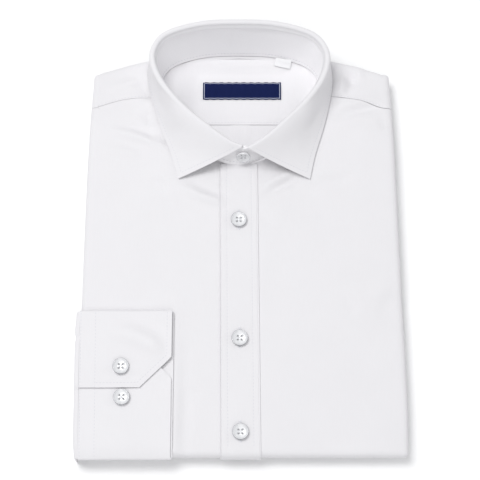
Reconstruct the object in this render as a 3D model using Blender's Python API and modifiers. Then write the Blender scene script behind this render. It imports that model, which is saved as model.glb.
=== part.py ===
"""A dress shirt folded for the shelf, lying on its back with the collar buttoned.

Metres, +Z up. The origin is on the surface under the middle of the placket. +X is the viewer's
right, which is the wearer's left, and +Y runs from the bottom fold to the collar.
"""

import math
from collections import namedtuple

import bmesh
import bpy
from mathutils import Vector

# Walls and the gap between pieces that meet
CLOTH = 0.0012
FUSED = 0.0015
PLACKET_WALL = 0.0015
SLEEVE_WALL = 0.0020
GAP = 0.0003
WELD = 0.00001

# The folded body
BOTTOM_Y = -0.1725
STACK = 0.0065
EDGE_ROUND = 0.0065
CROWN = 0.0016
CROWN_X = 0.1250
UNDERSIDE_INSET = 0.0050
FLOOR_IN_NECK = 0.0100

Rib = namedtuple("Rib", "y left right height")
RIBS = (
    Rib(-0.1725, 0.1228, 0.1262, 0.0186),
    Rib(-0.1300, 0.1228, 0.1268, 0.0202),
    Rib(-0.0500, 0.1226, 0.1256, 0.0212),
    Rib(0.0420, 0.1223, 0.1246, 0.0219),
    Rib(0.0830, 0.1217, 0.1241, 0.0222),
    Rib(0.1130, 0.1207, 0.1233, 0.0216),
    Rib(0.1450, 0.1194, 0.1220, 0.0196),
)

# The hidden layers' edges, and the notch in the lowest one for the sleeve
Layer = namedtuple("Layer", "low high inset")
LAYERS = (
    Layer(0.0000, 0.0024, 0.0036),
    Layer(0.0024, 0.0045, 0.0026),
    Layer(0.0045, 0.0065, 0.0031),
)
GROOVE = 0.0018
LAYER_BEVEL = 0.0002
NOTCH_Y = -0.0540
NOTCH_X = -0.1110
CORE_REACH = 0.0060

# The shoulder fold and the front yoke seam, by distance from the middle
Shoulder = namedtuple("Shoulder", "x fold_y seam_y")
SHOULDERS = (
    Shoulder(0.0000, 0.1672, 0.1240),
    Shoulder(0.0400, 0.1652, 0.1232),
    Shoulder(0.0730, 0.1570, 0.1218),
    Shoulder(0.0900, 0.1530, 0.1200),
    Shoulder(0.1000, 0.1500, 0.1178),
    Shoulder(0.1200, 0.1432, 0.1106),
)
NECK_LOW = 0.0120

# Where the cloth climbs or falls round the neck: by distance from the middle, or by y
YOKE_CLIMBS_X = (0.0550, 0.0730)
YOKE_FALLS_Y = (0.1250, 0.1470)
INSIDE_CLIMBS_X = (0.0360, 0.0620)
INSIDE_CLIMBS_Y = (0.0950, 0.1250)
INSIDE_BACK_Y = (0.1500, 0.1610)
INSIDE_DROPS_Y = (0.0300, 0.0750)
FOOT_FALLS_Y = (0.1200, 0.1640)
FOOT_LEVELS = (0.0198, 0.0130)
NECK_FLOOR_X = (0.0730, 0.0830)
NECK_FLOOR_Y = (0.0120, 0.0260)
INSIDE_WIDTH = 0.1320
YOKE_SEAM_Y = 0.1009
FOLD_LIMIT_Y = 0.1600

SHOULDER_COLUMNS = (0.0705, 0.0830, 0.0970)
NECK_COLUMNS = (0.0160, 0.0320, 0.0480, 0.0600)
NEAR_SIDE = 0.1165

# The collar, half of it, by angle round the neck from the back
COLLAR_SKEW = 0.036
COLLAR_STRAIGHT_Y = 0.1400
Ring = namedtuple("Ring", "angle foot_x foot_y foot_z crest_x crest_y crest_z")
RINGS = (
    Ring(0, 0.0000, 0.1632, 0.0130, 0.0000, 0.1738, 0.0500),
    Ring(25, 0.0275, 0.1618, 0.0131, 0.0306, 0.1722, 0.0498),
    Ring(50, 0.0505, 0.1545, 0.0142, 0.0579, 0.1640, 0.0490),
    Ring(70, 0.0610, 0.1450, 0.0162, 0.0682, 0.1522, 0.0484),
    Ring(90, 0.0638, 0.1340, 0.0182, 0.0696, 0.1384, 0.0478),
    Ring(110, 0.0600, 0.1200, 0.0198, 0.0624, 0.1206, 0.0470),
    Ring(130, 0.0500, 0.1015, 0.0208, 0.0460, 0.0999, 0.0460),
    Ring(150, 0.0335, 0.0820, 0.0214, 0.0254, 0.0820, 0.0449),
    Ring(166, 0.0165, 0.0695, 0.0217, 0.0112, 0.0717, 0.0440),
    Ring(180, 0.0000, 0.0650, 0.0218, 0.0000, 0.0671, 0.0434),
)
Edge = namedtuple("Edge", "angle x y z")
LEAF_EDGE = (
    Edge(0, 0.0000, 0.1800, 0.0135),
    Edge(25, 0.0320, 0.1784, 0.0137),
    Edge(50, 0.0600, 0.1680, 0.0165),
    Edge(70, 0.0724, 0.1539, 0.0200),
    Edge(90, 0.0748, 0.1382, 0.0212),
    Edge(110, 0.0718, 0.1178, 0.0226),
    Edge(130, 0.0656, 0.0943, 0.0231),
    Edge(150, 0.0574, 0.0695, 0.0232),
    Edge(174, 0.0522, 0.0487, 0.0230),
)
CREST_RADIUS = 0.0018
STAND_BELOW_CREST = 0.0050
LEAF_END = 174
OVERLAP_ANGLE = 20
OVERLAP_STEP = 0.0021
OVERLAP_RISES = (134, 154)

# The placket and its buttons
PLACKET_WIDTH = 0.0300
FRONT_START = 0.0070
PLACKET_X_BOTTOM = 0.0005
PLACKET_X_TOP = -0.0013
BUTTON_RADIUS = 0.0063
COLLAR_BUTTON_RADIUS = 0.0057
COLLAR_BUTTON_UP = 0.52
BUTTON_WALL = 0.0026
BUTTON_SIDES = 20
HOLE_RADIUS = 0.0008
HOLE_CIRCLE = 0.0021

# A button's section, as shares of its radius and its wall, from the top centre to the bottom one
Turn = namedtuple("Turn", "out up")
BUTTON_SECTION = (
    Turn(0.00, 0.62),
    Turn(0.62, 0.62),
    Turn(0.74, 0.98),
    Turn(0.90, 1.00),
    Turn(1.00, 0.72),
    Turn(0.97, 0.40),
    Turn(0.60, 0.00),
    Turn(0.00, 0.00),
)
FRONT_BUTTONS_Y = (0.0136, -0.0826, -0.1548)

# The wearer's right cuff, flat on the front, and the sleeve round the edge
CUFF_LEFT = -0.1273
CUFF_RIGHT = -0.0503
CUFF_UP = -0.0613
CUFF_DOWN = -0.1765
FLAP_END = -0.1216
FLAP_MITRE = Vector((0.0240, 0.0235))
UNDER_END = -0.1020
UNDER_MITRE = Vector((0.0120, 0.0120))
CUFF_STEP = FUSED + 0.0004
CUFF_ROUND_UP = 0.0020
CUFF_ROUND_DOWN = CUFF_STEP / 2
CUFF_BACK_SHOWS = 0.0014
SLEEVE_OUT = -0.1316
SLEEVE_UNDER = -0.1130
SLEEVE_PINCH = 0.0008
SLEEVE_SEAM_IN = 0.0020
CUFF_BUTTONS = ((-0.0912, -0.1056), (-0.0902, -0.1290))

# The label and the size tab
LABEL_SIZE = (0.0640, 0.0156)
LABEL_CENTRE = (0.0016, 0.1318)
LABEL_WALL = 0.0005
TAB_SIZE = (0.0135, 0.0085)
TAB_CENTRE = (0.0345, 0.1534)
TAB_TURN = -0.2

CLOTH_COLOUR = (0.87, 0.88, 0.90)
BUTTON_COLOUR = (0.90, 0.90, 0.89)
LABEL_COLOUR = (0.016, 0.026, 0.090)
TAB_COLOUR = (0.90, 0.90, 0.90)

SHIRT = bpy.data.collections.new("folded_dress_shirt")
CUTTERS = bpy.data.collections.new("cutters")


def mix(a, b, t):
    """The value a share t of the way from a to b."""
    return a + (b - a) * t


def ease(t):
    """A soft step from 0 to 1."""
    t = min(max(t, 0.0), 1.0)
    return t * t * (3.0 - 2.0 * t)


def ramp(value, ends):
    """A soft step from 0 to 1 between two values."""
    return ease((value - ends[0]) / (ends[1] - ends[0]))


def curve(table, column, place):
    """A column of a table at a place, on a smooth curve. The first column holds the places."""
    last = len(table) - 1
    k = 0
    while k < last - 1 and place > table[k + 1][0]:
        k += 1
    rows = [table[min(max(n, 0), last)] for n in (k - 1, k, k + 1, k + 2)]
    at = [row[0] for row in rows]
    value = [getattr(row, column) for row in rows]
    span = at[2] - at[1]
    slopes = []
    for n in (1, 2):
        width = at[n + 1] - at[n - 1]
        slopes.append((value[n + 1] - value[n - 1]) / width * span)
    t = (place - at[1]) / span
    return (
        value[1] * (2 * t**3 - 3 * t**2 + 1)
        + slopes[0] * (t**3 - 2 * t**2 + t)
        + value[2] * (3 * t**2 - 2 * t**3)
        + slopes[1] * (t**3 - t**2)
    )


def mirrored(table, sides, full_turn):
    """A half table with its first rows mirrored, and its last ones too for a full turn."""
    def flip(row, around):
        changes = {side: -getattr(row, side) for side in sides}
        return row._replace(angle=2 * around - row.angle, **changes)

    before = [flip(row, 0) for row in reversed(table[1:])]
    after = [flip(row, 180) for row in reversed(table[:-1])] if full_turn else []
    return tuple(before) + tuple(table) + tuple(after)


RING_ALL_ROUND = mirrored(RINGS, ("foot_x", "crest_x"), True)
LEAF_ALL_ROUND = mirrored(LEAF_EDGE, ("x",), False)


def in_ring(angle):
    """The same place round the neck, between -180 and 180 degrees."""
    return (angle + 180.0) % 360.0 - 180.0


def collar_middle(y):
    """The collar's middle line, which leans to the viewer's right toward its points."""
    return COLLAR_SKEW * (COLLAR_STRAIGHT_Y - y)


def foot(angle):
    """The lower edge of the stand, on its middle surface."""
    a = in_ring(angle)
    x, y, z = (curve(RING_ALL_ROUND, n, a) for n in ("foot_x", "foot_y", "foot_z"))
    return Vector((collar_middle(y) + x, y, z))


def crest(angle):
    """The middle of the roll at the top of the collar."""
    a = in_ring(angle)
    x, y, z = (curve(RING_ALL_ROUND, n, a) for n in ("crest_x", "crest_y", "crest_z"))
    return Vector((collar_middle(y) + x, y, z))


def outward(line, angle):
    """The level direction away from the neck, square to a line round it."""
    ahead = line(angle + 2.0) - line(angle - 2.0)
    return Vector((-ahead.y, ahead.x, 0.0)).normalized()


def leaf_edge(angle):
    """The free edge of the collar leaf."""
    x, y, z = (curve(LEAF_ALL_ROUND, n, angle) for n in ("x", "y", "z"))
    return Vector((collar_middle(y) + x, y, z))


def half_width(y, side):
    """The folded body's edge, as a distance from the middle. side is -1 or 1."""
    return curve(RIBS, "left" if side < 0 else "right", y)


def fold_y(x):
    """Where the shoulder fold lies, by x."""
    return curve(SHOULDERS, "fold_y", abs(x))


def seam_y(x):
    """Where the front yoke seam lies, by x."""
    return curve(SHOULDERS, "seam_y", abs(x))


def front_height(x, y):
    """The top of the fronts: a low crown that thins to the folds."""
    across = min(abs(x) / CROWN_X, 1.0)
    return curve(RIBS, "height", min(y, RIBS[-1].y)) - CROWN * across**2


def shoulder_height(x, y):
    """The top of the outer yoke, which falls to the back of the neck."""
    top = front_height(x, y)
    at_back = mix(NECK_LOW, top, ramp(abs(x), YOKE_CLIMBS_X))
    return mix(top, at_back, ramp(y, YOKE_FALLS_Y))


def neck_share(x, y):
    """1 below the inner yoke and the back, 0 under the fronts and the shoulders."""
    return (1.0 - ramp(abs(x), NECK_FLOOR_X)) * ramp(y, NECK_FLOOR_Y)


def inside_height(x, y):
    """The inner yoke and the back as they lie in the neck: low, and up to the stand at the sides."""
    at_side = ramp(abs(x), INSIDE_CLIMBS_X) * ramp(y, INSIDE_CLIMBS_Y)
    at_back = ramp(y, INSIDE_BACK_Y)
    foot_z = mix(*FOOT_LEVELS, ramp(y, FOOT_FALLS_Y))
    under_front = front_height(x, y) - CLOTH - 2 * GAP
    low = mix(FLOOR_IN_NECK, foot_z - 2 * GAP, max(at_side, at_back))
    return mix(under_front, low, ramp(y, INSIDE_DROPS_Y))


def material(name, colour, roughness):
    """A plain surface of one colour."""
    made = bpy.data.materials.new(name)
    made.use_nodes = True
    shader = made.node_tree.nodes["Principled BSDF"]
    shader.inputs["Base Color"].default_value = (*colour, 1.0)
    shader.inputs["Roughness"].default_value = roughness
    shader.inputs["Metallic"].default_value = 0.0
    return made


def add_object(name, mesh, colour, roughness):
    """Put a mesh in the shirt's collection with a material of its own."""
    made = bpy.data.objects.new(name, mesh)
    made.data.materials.append(material(name, colour, roughness))
    SHIRT.objects.link(made)
    return made


def white(name, mesh):
    """A piece of the white cloth."""
    return add_object(name, mesh, CLOTH_COLOUR, 0.85)


def grid_faces(mesh, rows):
    """Faces between rows of points. Points that coincide are welded later."""
    lines = [[mesh.verts.new(point) for point in row] for row in rows]
    for lower, upper in zip(lines, lines[1:]):
        for k in range(len(lower) - 1):
            mesh.faces.new((lower[k], lower[k + 1], upper[k + 1], upper[k]))


def cloth_mesh(name, grids):
    """One open sheet from grids that share their edges, with its faces up."""
    mesh = bmesh.new()
    for rows in grids:
        grid_faces(mesh, rows)
    bmesh.ops.remove_doubles(mesh, verts=mesh.verts, dist=WELD)
    bmesh.ops.dissolve_degenerate(mesh, edges=mesh.edges, dist=WELD)
    bmesh.ops.recalc_face_normals(mesh, faces=mesh.faces)
    facing = sum(face.normal.z * face.calc_area() for face in mesh.faces)
    if facing < 0.0:
        bmesh.ops.reverse_faces(mesh, faces=mesh.faces)
    data = bpy.data.meshes.new(name)
    mesh.to_mesh(data)
    mesh.free()
    data.shade_smooth()
    return data


def thicken(made, wall, offset):
    """Give a sheet its wall. An offset of -1 keeps the sheet as the outer face."""
    solid = made.modifiers.new("wall", "SOLIDIFY")
    solid.thickness = wall
    solid.offset = offset
    solid.use_even_offset = True


def over_edge(stations, inward, angles, low):
    """Rows of points round a folded edge: from each station outward, down and back under.

    A station is a point on top and the level direction outward from it.
    """
    rows = []
    for point, way in stations:
        top = point.z - inward
        bottom = low + inward
        middle = (top + bottom) / 2.0
        half = (top - bottom) / 2.0
        row = []
        for angle in angles:
            turn = math.radians(angle)
            place = point + way * ((EDGE_ROUND - inward) * math.sin(turn))
            row.append(Vector((place.x, place.y, middle + half * math.cos(turn))))
        rows.append(row)
    return rows


def keep_below(row, station, cap, reach):
    """Lower a row round a folded edge to a height, and keep it inside the row's own curve."""
    point, way = station
    top = row[0].z
    bottom = 2 * row[len(row) // 2].z - top
    middle = (top + bottom) / 2.0
    half = (top - bottom) / 2.0
    widest = reach * math.sqrt(max(0.0, 1.0 - ((cap - middle) / half) ** 2))
    for k, place in enumerate(row):
        if place.z <= cap:
            continue
        out = (place - point).dot(way)
        side = point + way * min(out, widest)
        row[k] = Vector((side.x, side.y, cap))


NOSE_ANGLES = (0, 35, 65, 90, 120, 145, 165)
DOWN = Vector((0.0, -1.0, 0.0))
UP = Vector((0.0, 1.0, 0.0))


def corner(point, start, end):
    """Stations that turn round a corner of the folded body."""
    stations = []
    for share in (0.0, 1 / 3, 2 / 3, 1.0):
        turn = math.pi / 2 * share
        way = start * math.cos(turn) + end * math.sin(turn)
        stations.append((point, way))
    return stations


def neck_edge():
    """The neck edge of a front, from the middle to the yoke seam, just clear of the stand."""
    points = []
    for angle in (174, 163, 151, 139, 127, 115, 104):
        clear = FUSED / 2 + 2 * GAP + OVERLAP_STEP * ramp(angle, OVERLAP_RISES)
        place = foot(angle) + outward(foot, angle) * clear
        points.append((place.x - collar_middle(place.y), place.y))
    return points


def front_grid(side):
    """The flat part of a front, in columns from the placket to the side fold."""
    tops = [(side * x + collar_middle(y), y) for x, y in neck_edge()]
    tops += [(side * x, seam_y(x)) for x in SHOULDER_COLUMNS]
    columns = len(tops)
    low = BOTTOM_Y + EDGE_ROUND
    rows = []
    for n in range(16):
        level = n / 15
        row = []
        for k, (top_x, top_y) in enumerate(tops):
            y = mix(low, top_y, level)
            reach = half_width(y, side) - EDGE_ROUND
            bottom_x = side * mix(FRONT_START, reach, k / columns)
            x = mix(bottom_x, top_x, level)
            row.append(Vector((x, y, front_height(x, y))))
        y = mix(low, seam_y(NEAR_SIDE), level)
        x = side * (half_width(y, side) - EDGE_ROUND)
        row.append(Vector((x, y, front_height(x, y))))
        rows.append(row)
    return rows


def make_front(name, side):
    """One front: over the top from the placket, round the side fold and the bottom fold."""
    rows = front_grid(side)
    way = Vector((side, 0.0, 0.0))
    stations = [(point, DOWN) for point in rows[0][:-1]]
    stations += corner(rows[0][-1], DOWN, way)
    stations += [(row[-1], way) for row in rows[1:]]
    nose = over_edge(stations, 0.0, NOSE_ANGLES, STACK + GAP)
    made = white(name, cloth_mesh(name, (rows, nose)))
    thicken(made, CLOTH, -1.0)


def shoulder_grid(side):
    """The flat part of the outer yoke on one shoulder, from its front seam to the fold."""
    rows = []
    for share in (0.0, 0.34, 0.67, 1.0):
        row = []
        for column in SHOULDER_COLUMNS + (NEAR_SIDE,):
            y = mix(seam_y(column) + GAP, fold_y(column) - EDGE_ROUND, share)
            x = half_width(y, side) - EDGE_ROUND if column == NEAR_SIDE else column
            row.append(Vector((side * x, y, shoulder_height(side * x, y))))
        rows.append(row)
    return rows


def make_outer_yoke():
    """The outer yoke: both shoulders, over the fold, and the strip behind the neck."""
    grids = []
    ends = []
    for side in (-1, 1):
        rows = shoulder_grid(side)
        grids.append(rows)
        way = Vector((side, 0.0, 0.0))
        stations = [(row[-1], way) for row in rows[:-1]]
        stations += corner(rows[-1][-1], way, UP)
        stations += [(point, UP) for point in reversed(rows[-1][:-1])]
        ends.append(stations)
    behind = []
    for x in [-x for x in reversed(NECK_COLUMNS)] + [0.0] + list(NECK_COLUMNS):
        y = fold_y(x) - EDGE_ROUND
        behind.append((Vector((x, y, shoulder_height(x, y))), UP))
    stations = ends[0] + behind + list(reversed(ends[1]))
    grids.append(over_edge(stations, 0.0, NOSE_ANGLES, STACK + GAP))
    made = white("outer_yoke", cloth_mesh("outer_yoke", grids))
    thicken(made, CLOTH, -1.0)


def make_inside():
    """The inner yoke and the back, as they show inside the neck."""
    across = [mix(-INSIDE_WIDTH / 2, INSIDE_WIDTH / 2, n / 12) for n in range(13)]
    for name, start, end, count in (
        ("inner_yoke", YOKE_SEAM_Y + GAP, FOLD_LIMIT_Y, 7),
        ("back", INSIDE_DROPS_Y[0], YOKE_SEAM_Y, 6),
    ):
        rows = []
        for k in range(count):
            row = []
            for x in across:
                last = min(end, fold_y(x) - EDGE_ROUND - CLOTH)
                y = mix(start, last, k / (count - 1))
                row.append(Vector((x, y, inside_height(x, y))))
            rows.append(row)
        made = white(name, cloth_mesh(name, (rows,)))
        thicken(made, CLOTH, -1.0)


def layer_rows(stations):
    """The hidden layers' edges, from under the fronts down to the flat underside."""
    rows = []
    for point, way in stations:
        places = [(EDGE_ROUND - GAP, STACK + CLOTH + 2 * GAP), (EDGE_ROUND - GAP, STACK)]
        for layer in reversed(LAYERS):
            places.append((layer.inset + LAYER_BEVEL, layer.high - LAYER_BEVEL))
            places.append((layer.inset, mix(layer.low, layer.high, 0.4)))
            if layer.low > 0.0:
                places.append((layer.inset + GROOVE, layer.low + LAYER_BEVEL))
        places.append((UNDERSIDE_INSET, 0.0))
        row = []
        for inset, z in places:
            place = point + way * (EDGE_ROUND - inset)
            if z < LAYERS[0].high and place.y < NOTCH_Y:
                place.x = max(place.x, NOTCH_X)
            row.append(Vector((place.x, place.y, z)))
        rows.append(row)
    return rows


def core_height(x, y):
    """The top of the hidden layers: under the fronts, and under the inside of the neck."""
    under_outside = shoulder_height(x, y) - CLOTH - 2 * GAP
    nearby = ((x, y), (0.94 * x, y), (x, y - CORE_REACH), (x, y + CORE_REACH))
    lowest = min(inside_height(*place) for place in nearby)
    under_inside = lowest - CLOTH - 2 * GAP
    return min(under_outside, mix(under_outside, under_inside, neck_share(x, y)))


def core_grid():
    """The top of the hidden layers, in columns that pass under those of the outer yoke."""
    low = BOTTOM_Y + EDGE_ROUND
    half = (0.0,) + NECK_COLUMNS + SHOULDER_COLUMNS + (NEAR_SIDE,)
    last = len(half) - 1
    rows = []
    for k in range(21):
        level = k / 20
        row = []
        for n in range(-last, last + 1):
            side = -1 if n < 0 else 1
            column = half[abs(n)]
            y = mix(low, fold_y(column) - EDGE_ROUND, level)
            reach = half_width(y, side) - EDGE_ROUND
            top_x = reach if column == NEAR_SIDE else column
            x = side * mix(reach * abs(n) / last, top_x, level)
            row.append(Vector((x, y, core_height(x, y))))
        rows.append(row)
    return rows


def make_folded_layers():
    """The hidden layers as one rounded solid with a flat underside and layered edges."""
    rows = core_grid()
    left = Vector((-1.0, 0.0, 0.0))
    right = Vector((1.0, 0.0, 0.0))
    stations = [(point, DOWN) for point in rows[0][:-1]]
    stations += corner(rows[0][-1], DOWN, right)
    stations += [(row[-1], right) for row in rows[1:-1]]
    stations += corner(rows[-1][-1], right, UP)
    stations += [(point, UP) for point in reversed(rows[-1][1:-1])]
    stations += corner(rows[-1][0], UP, left)
    stations += [(row[0], left) for row in reversed(rows[1:-1])]
    stations += corner(rows[0][0], left, DOWN)
    inner = CLOTH + 2 * GAP
    lip = []
    for point, way in stations:
        lip.append((Vector((point.x, point.y, shoulder_height(point.x, point.y))), way))
    nose = over_edge(lip, inner, NOSE_ANGLES[:-1], STACK + GAP)
    for row, (point, way) in zip(nose, stations):
        keep_below(row, (point, way), point.z, EDGE_ROUND - inner)
    layers = layer_rows(stations)
    walls = [a + b for a, b in zip(nose, layers)]
    mesh = bmesh.new()
    grid_faces(mesh, rows)
    grid_faces(mesh, walls)
    bmesh.ops.remove_doubles(mesh, verts=mesh.verts, dist=WELD)
    bmesh.ops.holes_fill(mesh, edges=mesh.edges, sides=0)
    bmesh.ops.dissolve_degenerate(mesh, edges=mesh.edges, dist=WELD)
    bmesh.ops.recalc_face_normals(mesh, faces=mesh.faces)
    data = bpy.data.meshes.new("folded_layers")
    mesh.to_mesh(data)
    mesh.free()
    return white("folded_layers", data)


def placket_x(y):
    """The middle line of the placket."""
    return mix(PLACKET_X_BOTTOM, PLACKET_X_TOP, (y - BOTTOM_Y) / 0.24)


def make_placket():
    """The placket strip: on the fronts from the neck, and over the bottom fold."""
    lift = GAP + PLACKET_WALL
    low = BOTTOM_Y + EDGE_ROUND
    shares = (-0.5, -0.17, 0.17, 0.5)
    top = foot(180).y - FUSED / 2 - OVERLAP_STEP - GAP
    rows = []
    for k in range(16):
        row = []
        for share in shares:
            y = mix(low, top, k / 15)
            x = placket_x(y) + share * PLACKET_WIDTH
            row.append(Vector((x, y, front_height(x, y) + lift)))
        rows.append(row)
    stations = [(point, DOWN) for point in rows[0]]
    lowered = [(point - Vector((0.0, 0.0, lift)), way) for point, way in stations]
    nose = over_edge(lowered, -lift, (0, 35, 65, 90, 115), STACK + GAP)
    made = white("placket", cloth_mesh("placket", (rows, nose)))
    thicken(made, PLACKET_WALL, -1.0)


def stand_point(angle, height):
    """A point on the stand's middle surface. Its upper end laps outside the lower one."""
    low = foot(angle)
    high = crest(angle) - outward(crest, angle) * CREST_RADIUS
    high.z -= STAND_BELOW_CREST
    place = low.lerp(high, height)
    lap = OVERLAP_STEP * ramp(angle, OVERLAP_RISES)
    return place + outward(foot, angle) * lap


def round_neck(last):
    """Angles round the neck, closer together at the front, where the ring turns tightly."""
    half = list(range(10, 140, 10)) + list(range(140, last, 8)) + [last]
    return [-angle for angle in reversed(half)] + [0] + half


def make_collar_stand():
    """The stand: a band round the neck whose ends lap at the front."""
    angles = round_neck(180 + OVERLAP_ANGLE)
    rows = [[stand_point(angle, height) for angle in angles] for height in (0.0, 0.35, 0.7, 1.0)]
    made = white("collar_stand", cloth_mesh("collar_stand", (rows,)))
    thicken(made, FUSED, 0.0)


def leaf_profile(angle):
    """The leaf at one place round the neck: up from the stand, over the roll, down to the edge."""
    way = outward(crest, angle)
    top = crest(angle)
    row = []
    rise = STAND_BELOW_CREST - 2 * GAP
    row.append(top - way * CREST_RADIUS - Vector((0.0, 0.0, rise)))
    for turn in (180, 145, 108, 72, 35, 0):
        swing = math.radians(turn)
        out = way * (CREST_RADIUS * math.cos(swing))
        row.append(top + out + Vector((0.0, 0.0, CREST_RADIUS * math.sin(swing))))
    start = row[-1]
    end = leaf_edge(angle)
    fall = start.z - end.z
    pull = start + Vector((0.0, 0.0, -0.40 * fall)) + (end - start) * 0.10
    ease_in = end.lerp(start, 0.38) + Vector((0.0, 0.0, -0.06 * fall))
    for t in (0.2, 0.4, 0.6, 0.8, 1.0):
        u = 1.0 - t
        row.append(start * u**3 + pull * (3 * u * u * t) + ease_in * (3 * u * t * t) + end * t**3)
    return row


def make_collar_leaf():
    """The leaf: one piece with a point at each end, turned down over the stand."""
    columns = [leaf_profile(angle) for angle in round_neck(LEAF_END)]
    rows = [list(row) for row in zip(*columns)]
    made = white("collar_leaf", cloth_mesh("collar_leaf", (rows,)))
    thicken(made, FUSED, 0.0)


def cuff_rest(x, y):
    """The level that the cuff lies on."""
    return front_height(x, y) + 1.5 * GAP


def cut_corner(y, end, mitre):
    """The right edge of a cuff end, cut off at its corner by a mitre."""
    past = max(0.0, 1.0 - abs(y - end) / mitre.y)
    return CUFF_RIGHT - mitre.x * past


def cuff_fold(y, reach, start, end, right, turns):
    """Steps of the cuff's section round one of its two folds."""
    steps = []
    for turn in turns:
        swing = math.radians(turn)
        lift = mix(end, start, (1.0 + math.cos(swing)) / 2.0)
        steps.append((y + reach * math.sin(swing), lift, right))
    return steps


def cuff_section():
    """The cuff from its buttonhole end over both folds to its button end.

    Each step is a y, a height above the level it lies on, and its right edge.
    """
    backing = FUSED / 2
    under = backing + CUFF_STEP
    flap = under + CUFF_STEP
    top = CUFF_UP - CUFF_ROUND_UP
    bottom = CUFF_DOWN + CUFF_ROUND_DOWN
    steps = []
    for share in (0.0, 0.2, 0.4, 0.7, 1.0):
        y = mix(FLAP_END, top, share)
        steps.append((y, flap, cut_corner(y, FLAP_END, FLAP_MITRE)))
    steps += cuff_fold(top, CUFF_ROUND_UP, flap, backing, CUFF_RIGHT, (45, 90, 135))
    for share in (0.0, 0.5, 1.0):
        steps.append((mix(top, bottom, share), backing, CUFF_RIGHT + CUFF_BACK_SHOWS))
    halfway = CUFF_RIGHT + CUFF_BACK_SHOWS / 2
    turns = (30, 60, 90, 120, 150)
    steps += cuff_fold(bottom, -CUFF_ROUND_DOWN, backing, under, halfway, turns)
    for share in (0.0, 0.35, 0.7, 0.85, 1.0):
        y = mix(bottom, UNDER_END, share)
        steps.append((y, under, cut_corner(y, UNDER_END, UNDER_MITRE)))
    return steps


def make_cuff():
    """The cuff: a flat tube whose buttonhole end laps over its button end."""
    rows = []
    for y, lift, right in cuff_section():
        row = []
        for share in (0.0, 0.25, 0.5, 0.75, 1.0):
            x = mix(CUFF_LEFT, right, share)
            row.append(Vector((x, y, cuff_rest(x, y) + lift)))
        rows.append(row)
    made = white("cuff_right", cloth_mesh("cuff_right", (rows,)))
    thicken(made, FUSED, 0.0)


def make_sleeve():
    """The sleeve's end: from under the body, round its left fold and up to the cuff."""
    half = SLEEVE_WALL / 2
    rows = []
    for share in (0.0, 0.12, 0.38, 0.62, 0.88, 1.0):
        y = mix(CUFF_DOWN + SLEEVE_SEAM_IN, CUFF_UP - SLEEVE_SEAM_IN, share)
        pinch = SLEEVE_PINCH if share in (0.0, 1.0) else 0.0
        top = cuff_rest(CUFF_LEFT, y) + half
        turn_x = CUFF_LEFT - SLEEVE_PINCH
        reach = turn_x - (SLEEVE_OUT + half + pinch)
        row = [Vector((SLEEVE_UNDER, y, half))]
        for angle in (0, 30, 60, 90):
            swing = math.radians(angle)
            rise = reach * (1.0 - math.cos(swing))
            row.append(Vector((turn_x - reach * math.sin(swing), y, half + rise)))
        for angle in (90, 60, 30, 0):
            swing = math.radians(angle)
            rise = reach * (1.0 - math.cos(swing))
            row.append(Vector((turn_x - reach * math.sin(swing), y, top - rise)))
        row.append(Vector((CUFF_LEFT - 2 * GAP, y, top)))
        rows.append(row)
    made = white("sleeve_right", cloth_mesh("sleeve_right", (rows,)))
    thicken(made, SLEEVE_WALL, 0.0)


def patch(name, centre, size, turn, colour, height):
    """A small label that lies on a surface, made from that surface's points moved out."""
    rows = []
    for down in (-0.5, 0.0, 0.5):
        row = []
        for across in (-0.5, -0.25, 0.0, 0.25, 0.5):
            dx = across * size[0]
            dy = down * size[1]
            x = centre[0] + dx * math.cos(turn) - dy * math.sin(turn)
            y = centre[1] + dx * math.sin(turn) + dy * math.cos(turn)
            row.append(Vector((x, y, height(x, y) + GAP + LABEL_WALL)))
        rows.append(row)
    made = add_object(name, cloth_mesh(name, (rows,)), colour, 0.6)
    thicken(made, LABEL_WALL, -1.0)


def tab_height(x, y):
    """The size tab hangs from the stand to the inner yoke."""
    return inside_height(x, y) + 3 * GAP


def turned_button(name, radius):
    """A button without its holes, turned from its section."""
    data = bpy.data.meshes.new(name)
    points = [(turn.out * radius, 0.0, turn.up * BUTTON_WALL) for turn in BUTTON_SECTION]
    data.from_pydata(points, [(k, k + 1) for k in range(len(points) - 1)], [])
    made = add_object(name, data, BUTTON_COLOUR, 0.25)
    screw = made.modifiers.new("turn", "SCREW")
    screw.steps = BUTTON_SIDES
    screw.render_steps = BUTTON_SIDES
    screw.use_merge_vertices = True
    screw.merge_threshold = WELD
    screw.use_normal_calculate = True
    screw.use_smooth_shade = True
    return made


def hole_cutter(name):
    """Four pins that cut a button's holes."""
    mesh = bmesh.new()
    for n in range(4):
        turn = math.radians(45 + 90 * n)
        pin = bmesh.ops.create_cone(
            mesh,
            cap_ends=True,
            segments=6,
            radius1=HOLE_RADIUS,
            radius2=HOLE_RADIUS,
            depth=3 * BUTTON_WALL,
        )
        away = Vector((math.cos(turn), math.sin(turn), 0.0)) * HOLE_CIRCLE
        bmesh.ops.translate(mesh, verts=pin["verts"], vec=away)
    data = bpy.data.meshes.new(name)
    mesh.to_mesh(data)
    mesh.free()
    cutter = bpy.data.objects.new(name, data)
    cutter.hide_render = True
    cutter.display_type = "WIRE"
    CUTTERS.objects.link(cutter)
    return cutter


def button(name, place, facing, radius):
    """A rimmed button with four holes. place is the point on the cloth below its middle."""
    made = turned_button(name, radius)
    made.location = place + facing * GAP
    made.rotation_mode = "QUATERNION"
    made.rotation_quaternion = Vector((0.0, 0.0, 1.0)).rotation_difference(facing)
    cutter = hole_cutter(name + "_holes")
    cutter.parent = made
    cut = made.modifiers.new("holes", "BOOLEAN")
    cut.operation = "DIFFERENCE"
    cut.solver = "EXACT"
    cut.object = cutter


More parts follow.
